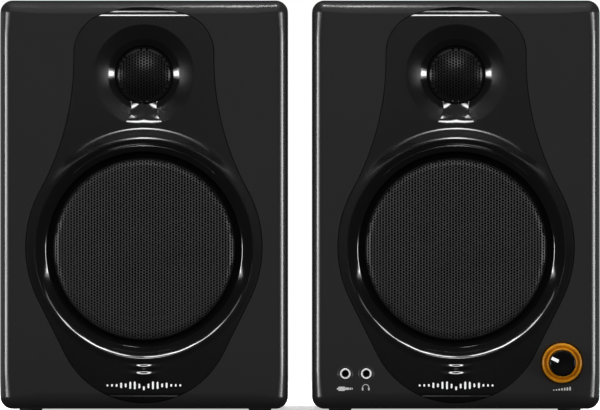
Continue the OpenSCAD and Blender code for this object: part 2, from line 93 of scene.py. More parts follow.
ORIGIN = {side: speaker_origin(side) for side in SIDES}
LOW, HIGH = local_box("right_front_baffle", "right")
BODY_W, BAFFLE_D, BODY_H = HIGH.x - LOW.x, HIGH.y, HIGH.z
HALF = np.array([BODY_W, BODY_H]) / 2
MIDDLE = np.array([0, BODY_H / 2])
WOOFER = np.array([0, centre_of("right_woofer_grille", "right").z])
TWEETER = np.array([0, centre_of("right_tweeter_grille", "right").z])
KNOB = np.array(centre_of("knob_ring", "right").xz)
JACKS_LOW, JACKS_HIGH = local_box("jack_rings", "right")
JACK_R = (JACKS_HIGH.z - JACKS_LOW.z) / 2
JACKS = [
    np.array([x, JACKS_LOW.z + JACK_R]) for x in (JACKS_LOW.x + JACK_R, JACKS_HIGH.x - JACK_R)
]
GRILLE_R = local_box("right_woofer_grille", "right")[1].x
PLATE_Y = local_box("amp_plate", "right")[1].y

# The front: its recesses, its roundings, how far in from its rim the first rows of points lie, and how far
# its openings' walls run back
RECESS_R = 12.5
JACK_RECESS_R = 4.4
CORNER_R = 7.0
SIDE_EDGE_R = 6.0
TOP_EDGE_R = 9.4
BLEND = 24.0
RIM_STEPS = (0, 0.03, 0.1, 0.22, 0.4, 0.62, 0.9, 1.2, 1.6)
WALL_RUN = 4

# The inlay's outline, as arcs that run into each other
HEAD_TOP = local_box("right_waveguide_panel", "right")[1].z
BULB = WOOFER + [0, 1.2]
BULB_R = 66.3
CHIN = BULB - [0, 38.2]
CHIN_R = 49.3
NECK_ANGLE = 28.8
NECK_R = 153.0
SHOULDER_R = 22.8
SHOULDER_DROP = 25.6
INLAY_GAP = 0.4

# The ridge round the woofer, the tweeter's dish and its prow, and the columns of holes in the grilles
LIP_R, CREST_R, RIPPLE_END_R = 54.6, 61.6, 71
DISH_R, DISH_KNEE_R, THROAT_R = 28.4, 20.3, 16.6
KEEL_TOP, KEEL_FOOT, KEEL_EDGE = 15.2, 28.3, 0.12
COLUMN_STEP, HOLE_STEP = 1.64, 1.61

# Marks: how high they stand, how far their backs lie behind the face, and the knob's pointer, in degrees
# anticlockwise from straight up
MARK_TALL, FINE_TALL, FLAT_TALL = 0.08, 0.06, 0.05
SINK = 0.02
POINTER_ANGLE = 64

# The rear: rounded edges by CAD node, how far the line inputs' insulators stand proud, the rocker's tilt
SOFT_EDGES = {
    "amp_plate": 0.5, "power_inlet": 0.4, "power_switch": 0.4, "usb_port": 0.25, "line_inputs": 0.3,
}
LEVER_EDGE, CUP_EDGE, ROCKER_EDGE = 0.6, 0.4, 0.35
BAND_PROUD = 0.1
ROCKER_TILT = -8.0

# The surroundings' brightness in reflections, ahead and elsewhere, the sky's, and how many degrees up
# the bright part lies
FRONT_GLOW, REST_GLOW, SKY = 0.27, 0.03, 0.95
GLOW_TILT = 3.8

# The picture's margin in width and its drop below the middle, in millimetres, then the point that the
# softboxes face and the floor's radius, in metres
VIEW_MARGIN, VIEW_DROP = 0.3, 0.2
AIM = Vector((0, -0.09, 0.118))
FLOOR_R = 0.75

# Softboxes. Each speaker's own ones stand AHEAD degrees out to its side. Strips and halos are pairs of
# half width or offset and radiance; the arc under the ridge and the side boxes are pairs of angle and
# radiance.
AHEAD = 2.3
FRONT_STRIPS = [(1.6, 30), (2.6, 14), (3.8, 7), (5.4, 2.6), (7.5, 1.0)]
HALOS = [(7.6, 5.5), (6.6, 1.3)]
ARC_RADIUS = 40
UNDER_ARC = [
    (-62, 2.5), (-47, 17), (-31, 32), (-15.5, 27), (0, 5), (15.5, 27), (31, 32), (47, 17), (62, 2.5),
]
SIDE_BOXES = [(57, 19), (49, 6), (40, 2.4)]


# ---- outlines

def arc(centre, r, start, end, n):
    angles = np.radians(np.linspace(start, end, n + 1))
    return np.array(centre) + r * np.column_stack([np.cos(angles), np.sin(angles)])


def circle(centre, r, n):
    return arc(centre, r, 0, 360, n)[:-1]


def bearing(a, b):
    return math.degrees(math.atan2(b[1] - a[1], b[0] - a[0]))


def rounded_loop(half_w, half_h, r, n=12, centre=(0, 0)):
    corners = [(1, 1, 0), (-1, 1, 90), (-1, -1, 180), (1, -1, 270)]
    parts = [
        arc((sx * (half_w - r), sz * (half_h - r)), r, a, a + 90, n) for sx, sz, a in corners
    ]
    return np.vstack(parts) + np.array(centre)


def grid(xs, zs):
    x, z = np.meshgrid(xs, zs)
    return np.column_stack([x.ravel(), z.ravel()])


def spaced(loop, step):
    """The closed loop with points added so that none of its sides is longer than step."""
    out = []
    for a, b in zip(loop, np.roll(loop, -1, axis=0)):
        n = max(1, math.ceil(np.linalg.norm(b - a) / step))
        out.extend(a + (b - a) * k / n for k in range(n))
    return np.array(out)


def inlay_outline(grow=0.0):
    neck = BULB + (BULB_R + NECK_R) * np.array(
        [math.cos(math.radians(NECK_ANGLE)), math.sin(math.radians(NECK_ANGLE))]
    )
    shoulder_z = HEAD_TOP - SHOULDER_DROP
    reach = SHOULDER_R + NECK_R
    shoulder = np.array([neck[0] - math.sqrt(reach**2 - (neck[1] - shoulder_z) ** 2), shoulder_z])
    head = HEAD_TOP - SHOULDER_R
    crown_z = (head**2 - shoulder[0] ** 2 - shoulder_z**2) / (2 * (head - shoulder_z))
    crown = np.array([0, crown_z])
    crown_end = bearing(crown, shoulder)
    shoulder_end = bearing(shoulder, neck)
    bulb_end = -math.degrees(math.asin((BULB_R - CHIN_R) / (BULB[1] - CHIN[1])))
    half = np.vstack([
        arc(crown, HEAD_TOP - crown_z + grow, 90, crown_end, 24),
        arc(shoulder, SHOULDER_R + grow, crown_end, shoulder_end, 24)[1:],
        arc(neck, NECK_R - grow, 180 + shoulder_end, 180 + NECK_ANGLE, 40)[1:],
        arc(BULB, BULB_R + grow, NECK_ANGLE, bulb_end, 40)[1:],
        arc(CHIN, CHIN_R + grow, bulb_end, -90, 36),
    ])
    mirror = half[1:-1][::-1] * [-1, 1]
    return spaced(np.vstack([half, mirror]), 2.0)[::-1]


def inside(points, loop):
    """Which points lie inside the closed loop."""
    x, z = points[:, 0][:, None], points[:, 1][:, None]
    a, b = loop, np.roll(loop, -1, axis=0)
    crosses = (a[:, 1] > z) != (b[:, 1] > z)
    with np.errstate(divide="ignore", invalid="ignore"):
        at = a[:, 0] + (z - a[:, 1]) * (b[:, 0] - a[:, 0]) / (b[:, 1] - a[:, 1])
    return (crosses & (x < at)).sum(1) % 2 == 1


def between(points, loops):
    """Which points lie inside the first loop and outside the others."""
    keep = inside(points, loops[0])
    for hole in loops[1:]:
        keep &= ~inside(points, hole)
    return keep


def loop_distance(points, loop):
    """Each point's distance from the closed loop."""
    a, b = loop, np.roll(loop, -1, axis=0)
    ab = b - a
    best = np.full(len(points), 1e9)
    for start, side in zip(a, ab):
        t = np.clip(((points - start) @ side) / max(side @ side, 1e-12), 0, 1)
        best = np.minimum(best, np.linalg.norm(points - start - t[:, None] * side, axis=1))
    return best


# ---- depth of the front's surfaces

def smooth(t):
    t = np.clip(t, 0, 1)
    return t * t * (3 - 2 * t)


def rim_distance(p):
    """Distance in from the rounded outline of the front."""
    x, z = np.abs(p[:, 0]), np.abs(p[:, 1] - BODY_H / 2)
    dx, dz = x - (BODY_W / 2 - CORNER_R), z - (BODY_H / 2 - CORNER_R)
    outside = np.hypot(np.maximum(dx, 0), np.maximum(dz, 0))
    return CORNER_R - outside - np.minimum(np.maximum(dx, dz), 0)


def front_depth(p):
    """How far the moulded front lies behind its face at p, an array of (x, z)."""
    x, z = np.abs(p[:, 0]), np.abs(p[:, 1] - BODY_H / 2)
    dx = np.maximum(x - (BODY_W / 2 - BLEND), 1e-6)
    dz = np.maximum(z - (BODY_H / 2 - BLEND), 1e-6)
    upright = dz**2 / (dx**2 + dz**2)
    r = SIDE_EDGE_R + (TOP_EDGE_R - SIDE_EDGE_R) * upright
    d = np.clip(rim_distance(p), 0, r)
    return r - np.sqrt(np.maximum(r**2 - (r - d) ** 2, 0))


def ridge(p):
    """Height of the ridge round the woofer: tallest above it, low below it, with a fine bead on its
    inner side and two ripples under it."""
    rel = p - WOOFER
    r = np.hypot(rel[:, 0], rel[:, 1])
    up = rel[:, 1] / np.maximum(r, 1e-6)
    crest = 0.03 + 1.17 * np.maximum(up, 0) ** 5
    foot = 65.4 + 3.2 * smooth(up * 1.2 - 0.1) - 0.6 * smooth(-up)
    outer = crest * smooth((foot - r) / (foot - CREST_R))
    down = np.maximum(CREST_R - r, 0)
    shoulder, lip = 0.6, 0.8
    fall = 0.14 + 0.28 * smooth(-up / 0.5)
    inner = crest - fall * (down - shoulder * (1 - np.exp(-down / shoulder))) - 0.02 * down**2
    bead = 0.19 * smooth((up - 0.6) * 5) + 0.05 * smooth((-up - 0.9) * 12)
    bead_r, bead_half = 57.9, 0.32
    inner = inner + bead * np.exp(-(((r - bead_r) / bead_half) ** 2))
    edge = np.clip((LIP_R + lip - r) / lip, 0, 1)
    inner = inner - lip * (1 - np.sqrt(1 - edge**2 * 0.98))
    wave_r, wave_step, wave_half = 66.3, 4.3, 4.5
    ripple = 0.16 * np.exp(-((rel[:, 0] / wave_half) ** 2)) * np.cos((r - wave_r) * 2 * np.pi / wave_step)
    ripple = ripple * smooth((-up - 0.8) * 10) * smooth((r - 63.5) / 1.5) * smooth((72 - r) / 2)
    return np.where(r > CREST_R, outer, inner) + ripple


def dish(p):
    """Depth of the tweeter's dish: nearly flat outside the knee, then steeper down to the throat."""
    r = np.hypot(*(p - TWEETER).T)
    flare = np.maximum(DISH_R - r, 0)
    throat = np.maximum(DISH_KNEE_R - r, 0)
    depth = 0.045 * flare + 0.0012 * flare**2 + 0.38 * throat + 0.022 * throat**2
    height, within = keel(p - TWEETER)
    return depth * (1 - within) + height * within


def keel_half(drop):
    """Half the prow's width, at a drop below the tweeter's middle."""
    return 7.2 + 2.9 * smooth((drop - 21.5) / 5.5)


def keel(rel):
    """Depth of the prow that runs down from the tweeter's throat, and how much of it is there."""
    drop, side = -rel[:, 1], np.abs(rel[:, 0])
    half = keel_half(drop)
    lip = KEEL_FOOT - 0.012 * side**2
    down = np.clip(lip - drop, 0, KEEL_FOOT - KEEL_TOP)
    slope, lip_r = 0.24, 23.0 - 1.3 * side
    eased = np.where(down < slope * lip_r, down**2 / (2 * lip_r), slope * down - slope**2 * lip_r / 2)
    head = np.maximum(22 - drop, 0)
    eased = eased - head**2 * (0.003 + 0.002 * side)
    height = eased + 0.03 * side * smooth((down - 2) / 4)
    return height, smooth((half - side) / KEEL_EDGE) * (drop > 13)


def inlay_depth(p):
    return front_depth(p) - ridge(p) + dish(p)


# ---- meshes

class Shape:
    """A mesh in the making: vertices in a speaker's frame, faces, a material number for each face
    and, where it is known, the true normal at each vertex."""

    def __init__(self):
        self.verts, self.faces, self.paint, self.normals = [], [], [], []

    def add(self, verts, faces, paint=0, normals=None):
        start = sum(len(v) for v in self.verts)
        verts = np.asarray(verts, float)
        self.verts.append(verts)
        self.faces.extend([tuple(int(i) + start for i in f) for f in faces])
        paints = [paint] * len(faces) if isinstance(paint, int) else list(paint)
        self.paint.extend(paints)
        self.normals.append(np.zeros_like(verts) if normals is None else np.asarray(normals))
        return self

    def join(self, other):
        return self.add(np.vstack(other.verts), other.faces, other.paint, np.vstack(other.normals))

    def loft(self, loops, paint=0, outward=False, normals=None):
        """Joins closed loops of equal length, each an array of (x, y, z), into a skin of quads. The
        skin of loops that run back faces in, as a hole's does, unless it is turned outward."""
        n = len(loops[0])
        faces = [
            (k * n + i, k * n + (i + 1) % n, (k + 1) * n + (i + 1) % n, (k + 1) * n + i)
            for k in range(len(loops) - 1)
            for i in range(n)
        ]
        if outward:
            faces = [f[::-1] for f in faces]
        return self.add(np.vstack(loops), faces, paint, normals)

    def turn(self, profile, centre=(0, 0), n=96, paint=0):
        """Turns a profile of (radius, depth) about a front-to-back axis through centre. The profile
        runs from the outside at the back, round the front and in."""
        loops = [at_depth(circle(centre, max(r, 1e-4), n), y) for r, y in profile]
        return self.loft(loops, paint)

    def cap(self, loop, y, paint=0):
        """A flat face towards the front."""
        return self.add(at_depth(loop, y), [tuple(range(len(loop)))], paint)

    def raised(self, loop, y, height, paint=0, edge=0.03):
        """A thin plate that stands height in front of y, with a softened edge."""
        middle = loop.mean(0)
        shrunk = loop - edge * unit(loop - middle)
        side = [at_depth(loop, y), at_depth(loop, y - height + edge), at_depth(shrunk, y - height)]
        self.loft(side, paint)
        return self.cap(shrunk, y - height, paint)

    def raised_strip(self, loop, y, height, paint=0):
        """A raised plate whose outline is two equal rails, the second one running back."""
        n = len(loop) // 2
        front = at_depth(loop, y - height)
        self.loft([at_depth(loop, y), front], paint)
        faces = [(i, i + 1, 2 * n - 2 - i, 2 * n - 1 - i) for i in range(n - 1)]
        return self.add(front, faces, paint)

    def turned_round(self, y):
        """The same shape, facing back from depth y instead of forward from depth 0."""
        self.verts = [v * [1, -1, 1] + [0, y, 0] for v in self.verts]
        self.normals = [v * [1, -1, 1] for v in self.normals]
        self.faces = [f[::-1] for f in self.faces]
        return self


def unit(v):
    return v / np.maximum(np.linalg.norm(v, axis=-1, keepdims=True), 1e-9)


def at_depth(loop, y):
    loop = np.asarray(loop, float)
    return np.column_stack([loop[:, 0], np.broadcast_to(y, len(loop)), loop[:, 1]])


def surface_normals(points, depth):
    """True normals of the surface y = depth(x, z), which faces -y."""
    e = 0.001
    dx = (depth(points + [e, 0]) - depth(points - [e, 0])) / (2 * e)
    dz = (depth(points + [0, e]) - depth(points - [0, e])) / (2 * e)
    n = np.column_stack([dx, -np.ones(len(points)), dz])
    return n / np.linalg.norm(n, axis=1, keepdims=True)


def sheet(loops, inner, depth, clear=0.25, creases=()):
    """Triangles over the area inside loops[0] and outside the others, ready for Shape.add. inner holds
    extra points, and creases are open lines that the triangles may not cross."""
    if len(inner):
        inner = inner[between(inner, loops)]
        for loop in loops:
            inner = inner[loop_distance(inner, loop) > clear]
    points, edges = list(inner), []
    for loop in loops:
        first, n = len(points), len(loop)
        points.extend(loop)
        edges.extend((first + i, first + (i + 1) % n) for i in range(n))
    for line in creases:
        first = len(points)
        points.extend(line)
        edges.extend((first + i, first + i + 1) for i in range(len(line) - 1))
    made = delaunay_2d_cdt([Vector(p) for p in points], edges, [], 1, 1e-5)
    flat = np.array([tuple(v) for v in made[0]])
    tris = np.array([tuple(f) for f in made[2]])
    tris = tris[between(flat[tris].mean(1), loops)]
    verts = at_depth(flat, depth(flat))
    a, b, c = verts[tris[:, 0]], verts[tris[:, 1]], verts[tris[:, 2]]
    facing_back = np.cross(b - a, c - a)[:, 1] > 0
    tris[facing_back] = tris[facing_back][:, ::-1]
    return verts, tris, 0, surface_normals(flat, depth)


def shade(mesh, angle):
    """Smooth, but for edges sharper than the angle."""
    mesh.polygons.foreach_set("use_smooth", [True] * len(mesh.polygons))
    mesh.set_sharp_from_angle(angle=math.radians(angle))


def mesh_of(name, shape, materials, angle=35):
    verts = np.vstack(shape.verts) * MM
    normals = np.vstack(shape.normals)
    mesh = bpy.data.meshes.new(name)
    mesh.from_pydata(verts.tolist(), [], shape.faces)
    for m in materials:
        mesh.materials.append(m)
    mesh.polygons.foreach_set("material_index", shape.paint)
    mesh.update()
    shade(mesh, angle)
    if np.abs(normals).sum() > 0:
        mesh.normals_split_custom_set_from_vertices(normals.tolist())
    return mesh


def add_object(name, data):
    piece = bpy.data.objects.new(name, data)
    bpy.context.scene.collection.objects.link(piece)
    return piece


def place(name, mesh, side, body=None, node=None):
    """Puts a mesh into a speaker, or into the shared frame where side is None, and lets it ride on a
    body. Where it stands in for a CAD node, it takes that node's place and slot."""
    piece = add_object(name, mesh)
    if side:
        piece.location = ORIGIN[side]
    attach(piece, body or BODY[side])
    if node:
        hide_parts(node)
    return piece


def make(name, shape, materials, side, body=None):
    return place(name, mesh_of(name, shape, materials), side, body)


def stand_in(name, shape, node, side, materials=None, body=None, angle=35):
    """Makes a piece in place of a CAD node, in the node's own finish unless others are given."""
    mesh = mesh_of(name, shape, materials or [FINISH[SLOT_OF[node]]], angle)
    return place(name, mesh, side, body, node)


# ---- materials

def grey(v, tint=0.0):
    return (v, v, v * (1 + tint))


def new_node(tree, kind, **inputs):
    """A shader node. Each input gets a value, or a link where it is given another node's output."""
    node = tree.nodes.new("ShaderNode" + kind)
    for key, v in inputs.items():
        socket = node.inputs[key.replace("_", " ")]
        if isinstance(v, bpy.types.NodeSocket):
            tree.links.new(v, socket)
        else:
            socket.default_value = v
    return node


def map_range(tree, value, start, end, low, high, kind="LINEAR"):
    span = dict(From_Min=start, From_Max=end, To_Min=low, To_Max=high)
    node = new_node(tree, "MapRange", Value=value, **span)
    node.interpolation_type = kind
    return node.outputs["Result"]


class Nodes:
    """Short calls for the nodes that the materials share."""

    def __init__(self, name):
        self.material = bpy.data.materials.new(name)
        self.material.use_nodes = True
        self.tree = self.material.node_tree
        self.shader = self.tree.nodes["Principled BSDF"]
        self.where = new_node(self.tree, "TexCoord").outputs["Object"]

    def link(self, a, b):
        self.tree.links.new(a, b)

    def noise(self, scale, detail=3.0, rough=0.5, stretch=(1, 1, 1)):
        at = new_node(self.tree, "Mapping", Scale=stretch, Vector=self.where).outputs["Vector"]
        inputs = dict(Scale=scale, Detail=detail, Roughness=rough, Vector=at)
        return new_node(self.tree, "TexNoise", **inputs).outputs["Fac"]

    def cells(self, scale):
        return new_node(self.tree, "TexVoronoi", Scale=scale, Vector=self.where).outputs["Distance"]

    def spread(self, value, low, high, start=0.3, end=0.7):
        return map_range(self.tree, value, start, end, low, high)

    def mixed(self, value, a, b):
        mix = new_node(self.tree, "Mix")
        mix.data_type = "RGBA"
        self.link(value, mix.inputs["Factor"])
        for key, tone in (("A", a), ("B", b)):
            mix.inputs[key].default_value = (*(tone if isinstance(tone, tuple) else grey(tone)), 1)
        return mix.outputs["Result"]

    def base(self, value, dark, light, *span):
        """The base colour: from dark to light as the value rises."""
        tone = self.mixed(self.spread(value, 0, 1, *span), dark, light)
        self.link(tone, self.shader.inputs["Base Color"])

    def rough(self, value, low, high):
        self.link(self.spread(value, low, high), self.shader.inputs["Roughness"])

    def bump(self, value, strength, distance):
        inputs = dict(Strength=strength, Distance=distance * MM, Height=value)
        bump = new_node(self.tree, "Bump", **inputs)
        previous = self.shader.inputs["Normal"].links
        if previous:
            self.link(previous[0].from_socket, bump.inputs["Normal"])
        self.link(bump.outputs["Normal"], self.shader.inputs["Normal"])

    def set(self, **values):
        for key, v in values.items():
            self.shader.inputs[key.replace("_", " ")].default_value = v
        return self


def plastic(name, dark, light, rough, grain=0.0, grain_scale=2600, metallic=0.0, specular=0.5):
    """Moulded or painted: two close tones in soft clouds, a roughness that wanders between two
    values, and a fine grain. A tone is a colour, or one number for a grey."""
    n = Nodes(name).set(Metallic=metallic, Specular_IOR_Level=specular)
    n.base(n.noise(18, 4), dark, light)
    n.rough(n.noise(55, 5, 0.6), *rough)
    if grain:
        n.bump(n.noise(grain_scale, 2), 0.5, grain)
    return n.material


def patterned(name, pattern, dark, light, rough, relief, span=(), **values):
    """A tone, a roughness and a relief that all follow one pattern: the inputs of a noise, or the
    scale of cells."""
    n = Nodes(name).set(**values)
    value = n.noise(**pattern) if isinstance(pattern, dict) else n.cells(pattern)
    n.base(value, dark, light, *span)
    n.rough(value, *rough)
    n.bump(value, *relief)
    return n.material


def winding():
    """Turns of copper wire, side by side."""
    n = Nodes("copper_wire").set(Metallic=1.0)
    turns = n.noise(60, 1, stretch=(0.05, 40, 0.05))
    n.link(n.mixed(turns, (0.45, 0.16, 0.06), (0.8, 0.38, 0.18)), n.shader.inputs["Base Color"])
    n.rough(turns, 0.2, 0.4)
    n.bump(turns, 0.6, 0.1)
    return n.material


def vinyl():
    """A matt wrap with a fine pebbled grain."""
    n = Nodes("vinyl_wrap")
    pebbles = n.cells(1100)
    n.base(n.noise(12, 4), 0.0105, 0.0145)
    n.rough(n.noise(70, 4), 0.42, 0.52)
    n.bump(pebbles, 0.35, 0.05)
    n.bump(n.noise(260, 3), 0.15, 0.05)
    return n.material


def amber(name, colour, strength):
    """Translucent amber plastic, lit from behind a little unevenly."""
    n = Nodes(name).set(Specular_IOR_Level=0.28)
    deep = tuple(c * 0.8 for c in colour)
    glow = n.mixed(n.spread(n.noise(160, 3), 0, 1), deep, colour)
    n.link(glow, n.shader.inputs["Base Color"])
    n.link(glow, n.shader.inputs["Emission Color"])
    n.rough(n.noise(300, 3), 0.2, 0.32)
    n.set(Emission_Strength=strength)
    return n.material


BRUSHED = dict(scale=400, detail=4, stretch=(1, 0.02, 1))
FIBRE = dict(scale=1500, detail=5, rough=0.7, stretch=(1, 0.4, 1))

# The finish of each material slot
FINISH = {
    "baffle_plastic": plastic("satin_black", 0.0142, 0.015, (0.2, 0.24), 0.004),
    "gloss_inlay": plastic("polished_black", 0.0012, 0.0018, (0.08, 0.11)),
    "grille_mesh": plastic("grille_paint", 0.027, 0.034, (0.34, 0.44), 0.01, 4000),
    "basket_metal": plastic("basket_enamel", 0.006, 0.008, (0.35, 0.5), 0.01, specular=0.2),
    "back_board": plastic("painted_board", 0.014, 0.019, (0.5, 0.62), 0.03, 900),
    "surround_rubber": plastic("surround_rubber", 0.002, 0.003, (0.5, 0.6), 0.01, specular=0.08),
    "foot_rubber": plastic("foot_rubber", 0.012, 0.018, (0.65, 0.8), 0.02),
    "magnet_ferrite": plastic("ferrite", 0.04, 0.06, (0.55, 0.7), 0.03),
    # Near-black: the dome's own dark coating, darkened further as painted shade seen through the grille's
    # holes.
    "silk_dome": plastic(
        "silk_and_painted_shade", grey(0.003, 0.1), grey(0.005, 0.1), (0.5, 0.6), 0.02, specular=0.1
    ),
    "moulded_black": plastic("moulded_black", 0.011, 0.015, (0.4, 0.52), 0.02),
    "lever_red": plastic("lever_red", (0.38, 0.008, 0.01), (0.46, 0.014, 0.014), (0.25, 0.34)),
    "lever_black": plastic("lever_black", 0.011, 0.016, (0.25, 0.34)),
    "knob_gloss": plastic("knob_gloss", 0.0016, 0.003, (0.14, 0.19), specular=0.12),
    "amp_plate_metal": plastic("powder_coat", 0.02, 0.026, (0.42, 0.55), 0.04, 1600),
    "circuit_board": plastic("circuit_board", (0.008, 0.06, 0.025), (0.02, 0.11, 0.05), (0.25, 0.4)),
    "bright_metal": plastic("nickel", 0.62, 0.72, (0.2, 0.3), metallic=1.0),
    "pot_metal": plastic("pot_metal", 0.5, 0.6, (0.3, 0.4), metallic=1.0),
    "screw_steel": plastic("black_zinc", 0.07, 0.12, (0.3, 0.45), 0.006, metallic=1.0),
    "bare_steel": patterned("zinc_plate", BRUSHED, 0.45, 0.55, (0.28, 0.45), (0.3, 0.01), Metallic=1.0),
    "core_steel": patterned("laminations", BRUSHED, 0.2, 0.3, (0.28, 0.45), (0.3, 0.01), Metallic=1.0),
    "copper_winding": winding(),
    "cone_paper": patterned(
        "coated_pulp", FIBRE, 0.002, 0.004, (0.62, 0.8), (0.5, 0.06), Specular_IOR_Level=0.08
    ),
    "spider_cloth": patterned(
        "spider_cloth", 1400, (0.45, 0.28, 0.08), (0.62, 0.42, 0.16), (0.7, 0.9), (0.6, 0.08), (0.0, 0.7)
    ),
    "cabinet_wrap": vinyl(),
    "ring_amber": amber("ring_amber", (0.46, 0.185, 0.008), 0.08),
}
INK = plastic("white_ink", 0.8, 0.9, (0.35, 0.45))
PALE_INK = plastic("grey_ink", 0.42, 0.5, (0.4, 0.5))
# A darker copy of the ring's amber for its groove and bore: painted shade.
AMBER_SHADE = amber("amber_painted_shade", (0.34, 0.1, 0.0), 0.06)
# The tweeter grille's paint, darker than the woofer grille's: painted shade.
SHADED_FINE_MESH = plastic("fine_mesh_painted_shade", 0.006, 0.009, (0.28, 0.36), 0.01, 4000)
RING_METAL = plastic("satin_nickel", 0.92, 0.97, (0.42, 0.5), metallic=0.5)
RED_BAND = plastic("red_band", (0.42, 0.012, 0.012), (0.5, 0.02, 0.02), (0.3, 0.4))
# Near-black for the grilles' turned rims and the sockets' bores: painted shade, in the bores partly the
# sockets' own black.
PAINTED_SHADE = plastic("painted_shade_hollow", 0.002, 0.003, (0.6, 0.8), 0.01, specular=0.1)


def dress_cad():
    """Gives each CAD node the finish of its own material slot."""
    for name, obj in nodes.items():
        if not obj.material_slots:
            obj.data.materials.append(None)
        for s in obj.material_slots:
            s.material = FINISH[SLOT_OF[name]]


dress_cad()


# ---- the moulded front

def fillet_rows(step):
    """Loops of points that follow the front's rounded edge, closer together towards the rim."""
    rows = []
    for angle in np.linspace(4, 90, 15):
        d = TOP_EDGE_R * (1 - math.cos(math.radians(angle)))
        loop = rounded_loop(BODY_W / 2 - d, BODY_H / 2 - d, max(CORNER_R - d, 0.6))
        rows.append(spaced(loop + MIDDLE, step))
    corner = grid(*(np.arange(half - BLEND, half, 0.8) for half in HALF))
    rows += [corner * [sx, sz] + MIDDLE for sx in (-1, 1) for sz in (-1, 1)]
    return np.vstack(rows)


def inset(rim, d):
    """The front's rim loop moved in by d, point for point."""
    core = np.clip(rim - MIDDLE, -HALF + CORNER_R, HALF - CORNER_R)
    return MIDDLE + core + (rim - MIDDLE - core) * (1 - d / CORNER_R)


def from_edge(r, y, *steps):
    """A profile as steps of (radius, depth) from one of its corners."""
    return [(r + dr, y + dy) for dr, dy in steps]


def front_baffle(side):
    rim = spaced(rounded_loop(*HALF, CORNER_R) + MIDDLE, 1.6)
    holes = [inlay_outline(INLAY_GAP)]
    if side == "right":
        holes.append(circle(KNOB, RECESS_R, 96))
        holes.extend(circle(at, JACK_RECESS_R, 48) for at in JACKS)
    shape = Shape()
    loops = [inset(rim, d) for d in RIM_STEPS]
    normals = [surface_normals(inset(rim, d + 0.004), front_depth) for d in RIM_STEPS]
    shape.loft([at_depth(loop, front_depth(loop)) for loop in loops], normals=np.vstack(normals))
    shape.add(*sheet([loops[-1]] + holes, fillet_rows(2.5), front_depth))
    tucked = rim - 0.4 * unit(rim - MIDDLE)
    inner = MIDDLE + (rim - MIDDLE) * 0.96
    back = [(rim, BAFFLE_D - 0.4), (tucked, BAFFLE_D), (inner, BAFFLE_D)]
    shape.loft([at_depth(rim, front_depth(rim))] + [at_depth(*row) for row in back], outward=True)
    edge = holes[0]
    edge_y = front_depth(edge)
    shape.loft([at_depth(edge, edge_y), at_depth(edge, edge_y + WALL_RUN)])
    if side == "right":
        recess = from_edge(RECESS_R, 0, (0, 0), (-0.25, 0.12), (-0.4, 0.6))
        shape.turn(recess + [(10.8, 0.6), (10.8, WALL_RUN)], KNOB, 96)
        recess = from_edge(JACK_RECESS_R, 0, (0, 0), (-0.2, 0.1), (-0.3, 0.7))
        for at in JACKS:
            shape.turn(recess + [(JACK_R + 0.1, 0.7), (JACK_R + 0.1, WALL_RUN)], at, 48)
    stand_in(side + "_front", shape, side + "_front_baffle", side)


def inlay_points():
    """Points over the inlay, dense wherever it curves."""
    rings = [circle(WOOFER, r, 300) for r in np.arange(LIP_R + 0.12, CREST_R, 0.42)]
    rings += [circle(WOOFER, r, 300) for r in np.arange(CREST_R, RIPPLE_END_R, 0.5)]
    rings += [circle(TWEETER, r, 160) for r in np.arange(THROAT_R + 0.3, DISH_R, 0.55)]
    rings += [circle(TWEETER, r, 240) for r in (DISH_R - 0.02, DISH_R + 0.02, 30.0)]
    keel = grid(np.arange(-10.2, 10.3, 0.3), TWEETER[1] - np.arange(14.5, 28, 0.3))
    edge = []
    for angle in np.linspace(20, 90, 16):
        d = TOP_EDGE_R * (1 - math.cos(math.radians(angle)))
        x = np.arange(-40, 40.1, 1.6)
        edge += [np.column_stack([x, np.full(len(x), z)]) for z in (d, BODY_H - d)]
    rings = np.vstack(rings)
    rel = rings - TWEETER
    in_keel = (np.abs(rel[:, 0]) < 10.4) & (-rel[:, 1] > 14.4) & (-rel[:, 1] < 28.1)
    rings = rings[~in_keel]
    far = np.hypot(*(keel - WOOFER).T) > RIPPLE_END_R + 0.4
    return np.vstack([rings, keel[far], np.vstack(edge)])


def inlay_creases():
    """The dish's knee and the prow's two sides, each as a pair of close lines."""
    gap = math.degrees(math.asin(keel_half(DISH_KNEE_R) / DISH_KNEE_R)) + 0.3
    lines = [arc(TWEETER, DISH_KNEE_R + d, gap - 90, 270 - gap, 360) for d in (-0.004, 0.004)]
    drop = np.arange(THROAT_R, KEEL_FOOT, 0.2)
    for inset in (0, KEEL_EDGE):
        half = keel_half(drop) - inset
        line = np.column_stack([half, -drop])
        line = line[np.hypot(*line.T) > THROAT_R + 0.15]
        lines += [line * [sx, 1] + TWEETER for sx in (-1, 1)]
    return lines


def inlay_mesh():
    """The glossy inlay, with its edge and the mouths of the woofer's well and the tweeter's throat."""
    outline = inlay_outline()
    woofer = circle(WOOFER, LIP_R, 300)
    tweeter = circle(TWEETER, THROAT_R, 160)
    shape = Shape()
    shape.add(*sheet([outline, woofer, tweeter], inlay_points(), inlay_depth, 0.1, inlay_creases()))
    y = inlay_depth(outline)
    shape.loft([at_depth(outline, y), at_depth(outline, y + WALL_RUN)])
    well = [(woofer, inlay_depth(woofer)), (woofer, 6.5), (circle(WOOFER, 50, 300), 6.5)]
    throat = [(tweeter, inlay_depth(tweeter)), (tweeter, 5.2), (circle(TWEETER, 14.5, 160), 5.2)]
    for mouth in (well, throat):
        shape.loft([at_depth(*row) for row in mouth])
    return mesh_of("inlay", shape, [FINISH["gloss_inlay"]])


shared_inlay = inlay_mesh()
for side in SIDES:
    front_baffle(side)
    place(side + "_inlay", shared_inlay.copy(), side, node=side + "_waveguide_panel")


# ---- grilles

